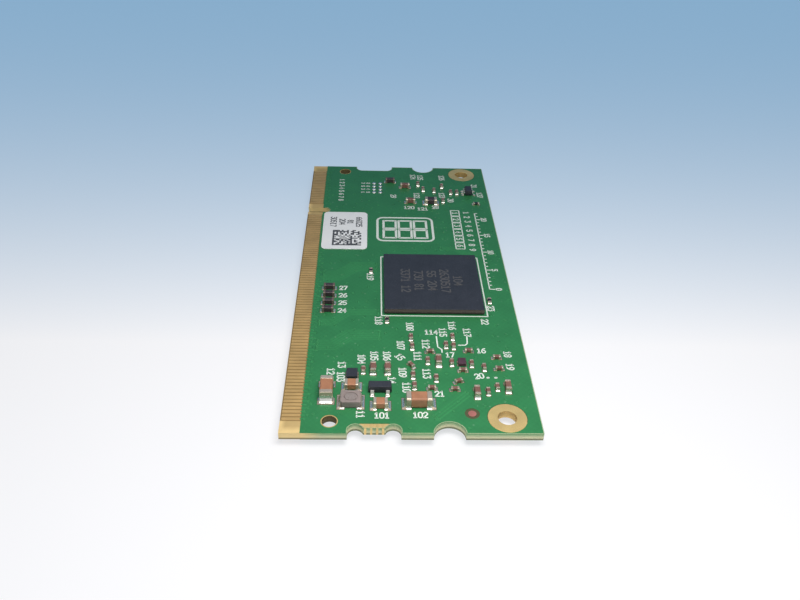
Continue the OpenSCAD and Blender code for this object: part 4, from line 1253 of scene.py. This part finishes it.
def ruler_routes():
    """Millimetre ruler along the rear edge with a number each five."""
    routes = [[(RULER_LINE, RULER_START), (RULER_LINE, RULER_START + RULER_MARKS - 1)]]
    for mark in range(RULER_MARKS):
        reach = RULER_SHORT if mark % RULER_STEP else RULER_LONG
        routes.append([(RULER_LINE, RULER_START + mark), (reach, RULER_START + mark)])
    numbers = range(0, RULER_MARKS, RULER_STEP)
    return routes + row_routes(RULER_NUMBERS, RULER_START, RULER_STEP, numbers, RULER_DIGITS)


def layer_routes(height):
    """Layer numbers in a row of boxes, and a row of plain numbers beside it."""
    routes = []
    u, first, step, count = LAYER_ROW
    for layer in range(count):
        v = first + layer * step
        routes.append(box_route(u - LAYER_BOX[0], v - LAYER_BOX[1], u + LAYER_BOX[0], v + LAYER_BOX[1]))
        routes += number_routes(str(layer + 1), u, v, height)
    return routes + row_routes(*COUNT_ROW, height)


def header_routes(height):
    """Pin numbers of the unfitted header and a row of plain numbers at the far end."""
    routes = []
    for column in range(2):
        for row in range(4):
            u, v = PIN_PLACE[0] + column * PIN_STEP[0], PIN_PLACE[1] + row * PIN_STEP[1]
            routes += number_routes(str(row * 2 + column + 1), u, v, height * PIN_DIGITS)
    return routes + row_routes(*FAR_ROW, height * FAR_DIGITS)


def underside_routes(height):
    """Outlines of the underside packages with their first pins marked, and plain numbers."""
    routes = []
    for node_name in ("memory_substrate", "flash_substrate"):
        (left, near), (right, far) = (place_of(corner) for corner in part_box(node_name))
        left, near = left - PACKAGE_GAP, near - PACKAGE_GAP
        routes.append(box_route(left, near, right + PACKAGE_GAP, far + PACKAGE_GAP))
        routes.append(arc_route(left + PIN_DOT[0], near + PIN_DOT[1], PIN_DOT_RADIUS, 0, 360, 8))
    for number, (u, v) in enumerate(UNDER_NUMBER_PLACES, UNDER_FIRST_NUMBER):
        routes += number_routes(str(number), u, v, height, from_below=True)
    return routes


class MODULE_OT_legend(bpy.types.Operator):
    """Prints the white outlines, ticks and plain numbers on the board"""

    bl_idname = "module.legend"
    bl_label = "Board legend"

    def execute(self, context):
        settings = context.scene.module_legend
        height = settings.digit_height / MM
        numbers = part_number_routes(height) + outline_routes() + header_routes(height)
        jobs = (
            ("legend_part_numbers", numbers, 1.0, MASK_TOP, True),
            ("legend_scales", ruler_routes() + layer_routes(height), 1.0, MASK_TOP, True),
            ("legend_write_on_boxes", write_on_routes(), 2.1, MASK_TOP, True),
            ("legend_dots", DOTS, 1.7, MASK_TOP, True),
            ("legend_underside", underside_routes(height), 1.0, MASK_UNDER, False),
        )
        for name, routes, boldness, level, upward in jobs:
            width = settings.stroke * boldness
            lines_piece(name, routes, level, width, settings.thickness, "legend_white", upward)
        return {"FINISHED"}


# Label: its ink, the place and size of its square pattern, and its rows of plain numbers as u and digits
LABEL_INK, LABEL_STROKE, LABEL_EDGE = 0.004 * MM, 0.16 * MM, 0.02
CODE_PLACE, CODE_SIDE, CODE_CELLS = (6.7, 42.6), 4.6 * MM, 16
LABEL_ROWS = ((4.4, "30517"), (5.85, "204"), (7.2, "81"), (8.6, "66025"))
LABEL_ROWS_V, LABEL_DIGITS = 47.5, 0.9


class MODULE_OT_label(bpy.types.Operator):
    """Rounds the sticker and prints its square pattern and plain numbers"""

    bl_idname = "module.label"
    bl_label = "Label"

    def execute(self, context):
        rounded_copy("label_sticker", "label_white", LABEL_EDGE)
        middle = on_board(*CODE_PLACE, LABEL_TOP + LABEL_INK / 2)
        grow(wire_piece("label_code", [middle]), "Square code", "print_black", Side=CODE_SIDE,
             Cells=CODE_CELLS, Thickness=LABEL_INK, Seed=context.scene.module_legend.code_seed)
        routes = []
        for u, number in LABEL_ROWS:
            routes += number_routes(number, u, LABEL_ROWS_V, LABEL_DIGITS)
        lines_piece("label_numbers", routes, LABEL_TOP, LABEL_STROKE, LABEL_INK, "print_black")
        return {"FINISHED"}


# Packages and parts

# Rows of plain numbers on each package, and whether it is on the top face
PACKAGES = {
    "processor": (("104", "2630517", "55 204", "730 81", "3371 12"), True),
    "memory": (("40218", "660", "7105"), False),
    "flash": (("20933", "5124"), False),
}
# Edge radii in mm
MOULD_EDGE, SUBSTRATE_EDGE = 0.035, 0.012
# Distance between the rows as a share of a number's height, and the height of the marks on the mould
MARK_PITCH = 1.6
MARK_RISE = 0.003 * MM


def mark_routes(node_name, rows, height, upward):
    """Rows of plain numbers across the middle of a package's face."""
    low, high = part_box(node_name)
    middle_u, middle_v = place_of(Vector(((low.x + high.x) / 2, (low.y + high.y) / 2)))
    routes = []
    for index, row in enumerate(rows):
        u = middle_u + ((len(rows) - 1) / 2 - index) * height * MARK_PITCH
        routes += number_routes(row, u, middle_v, height, from_below=not upward)
    return routes, high.z if upward else low.z


class MODULE_OT_packages(bpy.types.Operator):
    """Rounds the package moulds and finishes their substrates, balls and marks"""

    bl_idname = "module.packages"
    bl_label = "Packages"

    def execute(self, context):
        for package in PACKAGES:
            rounded_copy(f"{package}_mould", "package_mould", MOULD_EDGE)
            # The substrates' finish holds painted shade round the packages as well as their own colour
            rounded_copy(f"{package}_substrate", "package_substrate", SUBSTRATE_EDGE)
            dress_node(f"{package}_balls", "solder")
        settings = context.scene.module_legend
        for package, (rows, upward) in PACKAGES.items():
            routes, level = mark_routes(f"{package}_mould", rows, settings.mark_height / MM, upward)
            lines_piece(f"{package}_marks", routes, level, settings.stroke, MARK_RISE, "package_mark",
                        upward)
        return {"FINISHED"}


# Rounded nodes as node, finish and edge radius in mm
CHIP_NODES = (
    ("bulk_capacitor_left_body", "ceramic_brown", 0.05),
    ("bulk_capacitor_right_body", "ceramic_brown", 0.05),
    ("input_capacitor_body", "ceramic_brown", 0.035), ("output_capacitor_body", "ceramic_brown", 0.035),
    ("small_capacitor_bodies", "ceramic_red", 0.025), ("tiny_capacitor_bodies", "ceramic_red", 0.018),
    ("underside_capacitor_bodies", "ceramic_red", 0.018), ("choke_body", "ferrite", 0.03),
    ("ferrite_bead_bodies", "ferrite", 0.025), ("resistor_bodies", "resistor_black", 0.015),
    ("bulk_capacitor_left_ends", "tin_ends", 0.06), ("bulk_capacitor_right_ends", "tin_ends", 0.06),
    ("input_capacitor_ends", "tin_ends", 0.04), ("output_capacitor_ends", "tin_ends", 0.04),
    ("choke_ends", "tin_ends", 0.035), ("small_capacitor_ends", "tin_ends", 0.03),
    ("tiny_capacitor_ends", "tin_ends", 0.02), ("underside_capacitor_ends", "tin_ends", 0.02),
    ("ferrite_bead_ends", "dull_ends", 0.03), ("resistor_ends", "tin_ends", 0.015),
)
LEADED_NODES = (
    ("transistor_body", "package_black", 0.03), ("supervisor_body", "package_black", 0.025),
    ("converter_body", "package_black", 0.02), ("logic_body", "package_plum", 0.02),
    ("transistor_leads", "bright_leads", 0.012), ("supervisor_leads", "bright_leads", 0.01),
)
INDUCTOR_NODES = (
    ("inductor_core", "inductor_grey", 0.05), ("inductor_resin", "resin_grey", 0.03),
    ("inductor_terminals", "tin_ends", 0.02), ("crystal_base", "crystal_ceramic", 0.03),
    ("crystal_lid", "lid_metal", 0.03),
)
SOLDER_NODES = (("solder_top", "solder", 0.012), ("solder_underside", "solder", 0.012))
# Height of a solder dome over that of the pad that it stands for
DOME_RISE = 1.6


class MODULE_OT_chips(bpy.types.Operator):
    """Rounds the bodies and the metal ends of the capacitors, beads and resistors"""

    bl_idname = "module.chips"
    bl_label = "Chip parts"

    def execute(self, context):
        for values in CHIP_NODES:
            rounded_copy(*values)
        return {"FINISHED"}


class MODULE_OT_leaded(bpy.types.Operator):
    """Rounds the leaded and the leadless chips"""

    bl_idname = "module.leaded"
    bl_label = "Transistor and small chips"

    def execute(self, context):
        for values in LEADED_NODES:
            rounded_copy(*values)
        for node_name in ("converter_feet", "logic_feet"):
            dress_node(node_name, "tin_ends")
        return {"FINISHED"}


class MODULE_OT_inductor(bpy.types.Operator):
    """Rounds the inductor's core, resin and terminals and the crystal"""

    bl_idname = "module.inductor"
    bl_label = "Inductor and crystal"

    def execute(self, context):
        for values in INDUCTOR_NODES:
            rounded_copy(*values)
        return {"FINISHED"}


class MODULE_OT_solder(bpy.types.Operator):
    """Smooths the solder fillets and domes the bare header pads"""

    bl_idname = "module.solder"
    bl_label = "Solder"

    def execute(self, context):
        for values in SOLDER_NODES:
            rounded_copy(*values)
        boxes = islands("header_pads")
        size = boxes[0][1] - boxes[0][0]
        grow(wire_piece("header_pad_domes", foot_middles(boxes)), "Solder domes", "solder", "header_pads",
             Diameter=size.x, Rise=size.z * DOME_RISE)
        return {"FINISHED"}


# Stage

# Hair's breadth between the floor and the faces that rest on it
FLOOR_GAP = 0.02 * MM
CAMERA_PLACE = on_board(10.267, -63.891, MASK_TOP + 66.235 * MM)
# Lamps as place, the point that they look at, diameter, the setting of their power, and colour
LAMPS = {
    "Key": ((0.01, -0.05, 0.085), (0.01, -0.08, 0.0), 0.06, "key_power", (1.0, 0.97, 0.93)),
    "Glint": ((0.04, -0.16, 0.24), (0.0, -0.02, 0.0), 0.03, "glint_power", WHITE),
    "Under": ((0.0, -0.03, -0.25), (0.0, 0.0, 0.0), 0.12, "under_power", WHITE),
}


def floor_material(settings):
    """Pale floor that cools towards the back, and is clear when it is seen from below."""
    finish = Finish("Pale floor")
    tree = finish.tree
    behind = maths(tree, "MAXIMUM", minus(tree, split(tree, finish.place)[1], settings.fade_start), 0.0)
    pale = maths(tree, "EXPONENT", over(tree, behind, -settings.fade_length))
    grain = finish.use("Grain", Scale=300.0)
    tone = mix(tree, pale, rgba(settings.floor_far), rgba(settings.floor))
    finish.set(Base_Color=tone, Roughness=spread(tree, grain["Fine"], 0.6, 0.7))
    rays = add(tree, "ShaderNodeLightPath").outputs
    glow = out(tree, "ShaderNodeEmission", {"Color": tone})
    lift = times(tree, rays["Is Camera Ray"], settings.floor_lift)
    lifted = out(tree, "ShaderNodeMixShader", {0: lift, 1: finish.shader.outputs[0], 2: glow})
    below = add(tree, "ShaderNodeNewGeometry").outputs["Backfacing"]
    passed = maths(tree, "GREATER_THAN", rays["Transparent Depth"], 0.5)
    clear = out(tree, "ShaderNodeBsdfTransparent")
    unseen = maths(tree, "MAXIMUM", below, passed)
    one_sided = out(tree, "ShaderNodeMixShader", {0: unseen, 1: lifted, 2: clear})
    tree.links.new(one_sided, finish.output.inputs["Surface"])
    return finish.material


def area_lamp(name, place, aim, size, watts, colour):
    lamp = bpy.data.lights.new(name, "AREA")
    lamp.shape = "DISK"
    lamp.size = size
    lamp.energy = watts
    lamp.color = colour
    holder = new_object(name, lamp)
    holder.location = place
    holder.rotation_euler = (Vector(aim) - Vector(place)).to_track_quat("-Z", "Y").to_euler()


def room_light(settings):
    """Soft light from all round, with a pale room for the camera and for reflections."""
    world = bpy.data.worlds.new("Pale room")
    world.use_nodes = True
    tree = world.node_tree
    tree.nodes.clear()
    rays = add(tree, "ShaderNodeLightPath").outputs
    shown = maths(tree, "MAXIMUM", rays["Is Camera Ray"], rays["Is Glossy Ray"])
    shown = maths(tree, "MAXIMUM", shown, rays["Is Transmission Ray"])
    light = out(tree, "ShaderNodeBackground", {"Color": rgba(settings.sky_colour), "Strength": settings.sky})
    along = split(tree, add(tree, "ShaderNodeTexCoord").outputs["Generated"])[1]
    back = spread(tree, along, 0.0, 1.0, -0.2, 0.75)
    room = mix(tree, back, rgba(settings.room_near), rgba(settings.room_far))
    backdrop = out(tree, "ShaderNodeBackground", {"Color": room})
    choice = out(tree, "ShaderNodeMixShader", {0: shown, 1: light, 2: backdrop})
    add(tree, "ShaderNodeOutputWorld", {"Surface": choice})
    bpy.context.scene.world = world


def photo_camera(settings):
    """Camera at the photograph's place and lean."""
    camera = bpy.data.cameras.new("Camera")
    camera.lens = settings.lens
    camera.sensor_width = 36.0
    camera.clip_start = 0.002
    camera.clip_end = 10.0
    azimuth, elevation, roll = settings.azimuth, settings.elevation, settings.roll
    forward = Vector((math.sin(azimuth) * math.cos(elevation), math.cos(azimuth) * math.cos(elevation),
                      -math.sin(elevation)))
    level_right = Vector((math.cos(azimuth), -math.sin(azimuth), 0.0))
    level_down = forward.cross(level_right)
    right = level_right * math.cos(roll) + level_down * math.sin(roll)
    up = level_right * math.sin(roll) - level_down * math.cos(roll)
    turn = Matrix((right, up, -forward)).transposed().to_4x4()
    holder = new_object("Camera", camera)
    holder.matrix_world = Matrix.Translation(CAMERA_PLACE) @ turn
    bpy.context.scene.camera = holder


class MODULE_OT_stage(bpy.types.Operator):
    """Sets the floor, the lamps, the room and the camera"""

    bl_idname = "module.stage"
    bl_label = "Stage"

    def execute(self, context):
        settings = context.scene.module_stage
        shape = bmesh.new()
        bmesh.ops.create_grid(shape, x_segments=8, y_segments=8, size=settings.floor_size / 2)
        floor = new_object("floor", mesh_from(shape, "floor", floor_material(settings)))
        floor.location.z = CAD_BOX[0].z - FLOOR_GAP
        for name, (place, aim, size, power_name, colour) in LAMPS.items():
            area_lamp(name, place, aim, size, getattr(settings, power_name), colour)
        room_light(settings)
        photo_camera(settings)
        context.scene.view_settings.view_transform = "Standard"
        return {"FINISHED"}


# Add-on

OPERATORS = (
    MODULE_OT_stage, MODULE_OT_board, MODULE_OT_contacts, MODULE_OT_traces, MODULE_OT_legend,
    MODULE_OT_label, MODULE_OT_packages, MODULE_OT_chips, MODULE_OT_leaded, MODULE_OT_inductor,
    MODULE_OT_solder,
)


class MODULE_PT_sidebar(bpy.types.Panel):
    """Lists the steps that dress the module"""

    bl_idname = "MODULE_PT_sidebar"
    bl_label = "Computer module"
    bl_space_type = "VIEW_3D"
    bl_region_type = "UI"
    bl_category = "Module"

    def draw(self, context):
        for operator in OPERATORS:
            self.layout.operator(operator.bl_idname)


SETTINGS = {
    "module_board": ModuleBoardSettings,
    "module_legend": ModuleLegendSettings,
    "module_parts": ModulePartSettings,
    "module_stage": ModuleStageSettings,
}
CLASSES = tuple(SETTINGS.values()) + OPERATORS + (MODULE_PT_sidebar,)


def register():
    for kind in CLASSES:
        bpy.utils.register_class(kind)
    for name, kind in SETTINGS.items():
        setattr(bpy.types.Scene, name, PointerProperty(type=kind))


def unregister():
    for name in SETTINGS:
        delattr(bpy.types.Scene, name)
    for kind in reversed(CLASSES):
        bpy.utils.unregister_class(kind)


def main():
    register()
    bpy.ops.module.stage()
    bpy.ops.module.board()
    bpy.ops.module.contacts()
    bpy.ops.module.traces()
    bpy.ops.module.legend()
    bpy.ops.module.label()
    bpy.ops.module.packages()
    bpy.ops.module.chips()
    bpy.ops.module.leaded()
    bpy.ops.module.inductor()
    bpy.ops.module.solder()


if __name__ == "__main__":
    main()
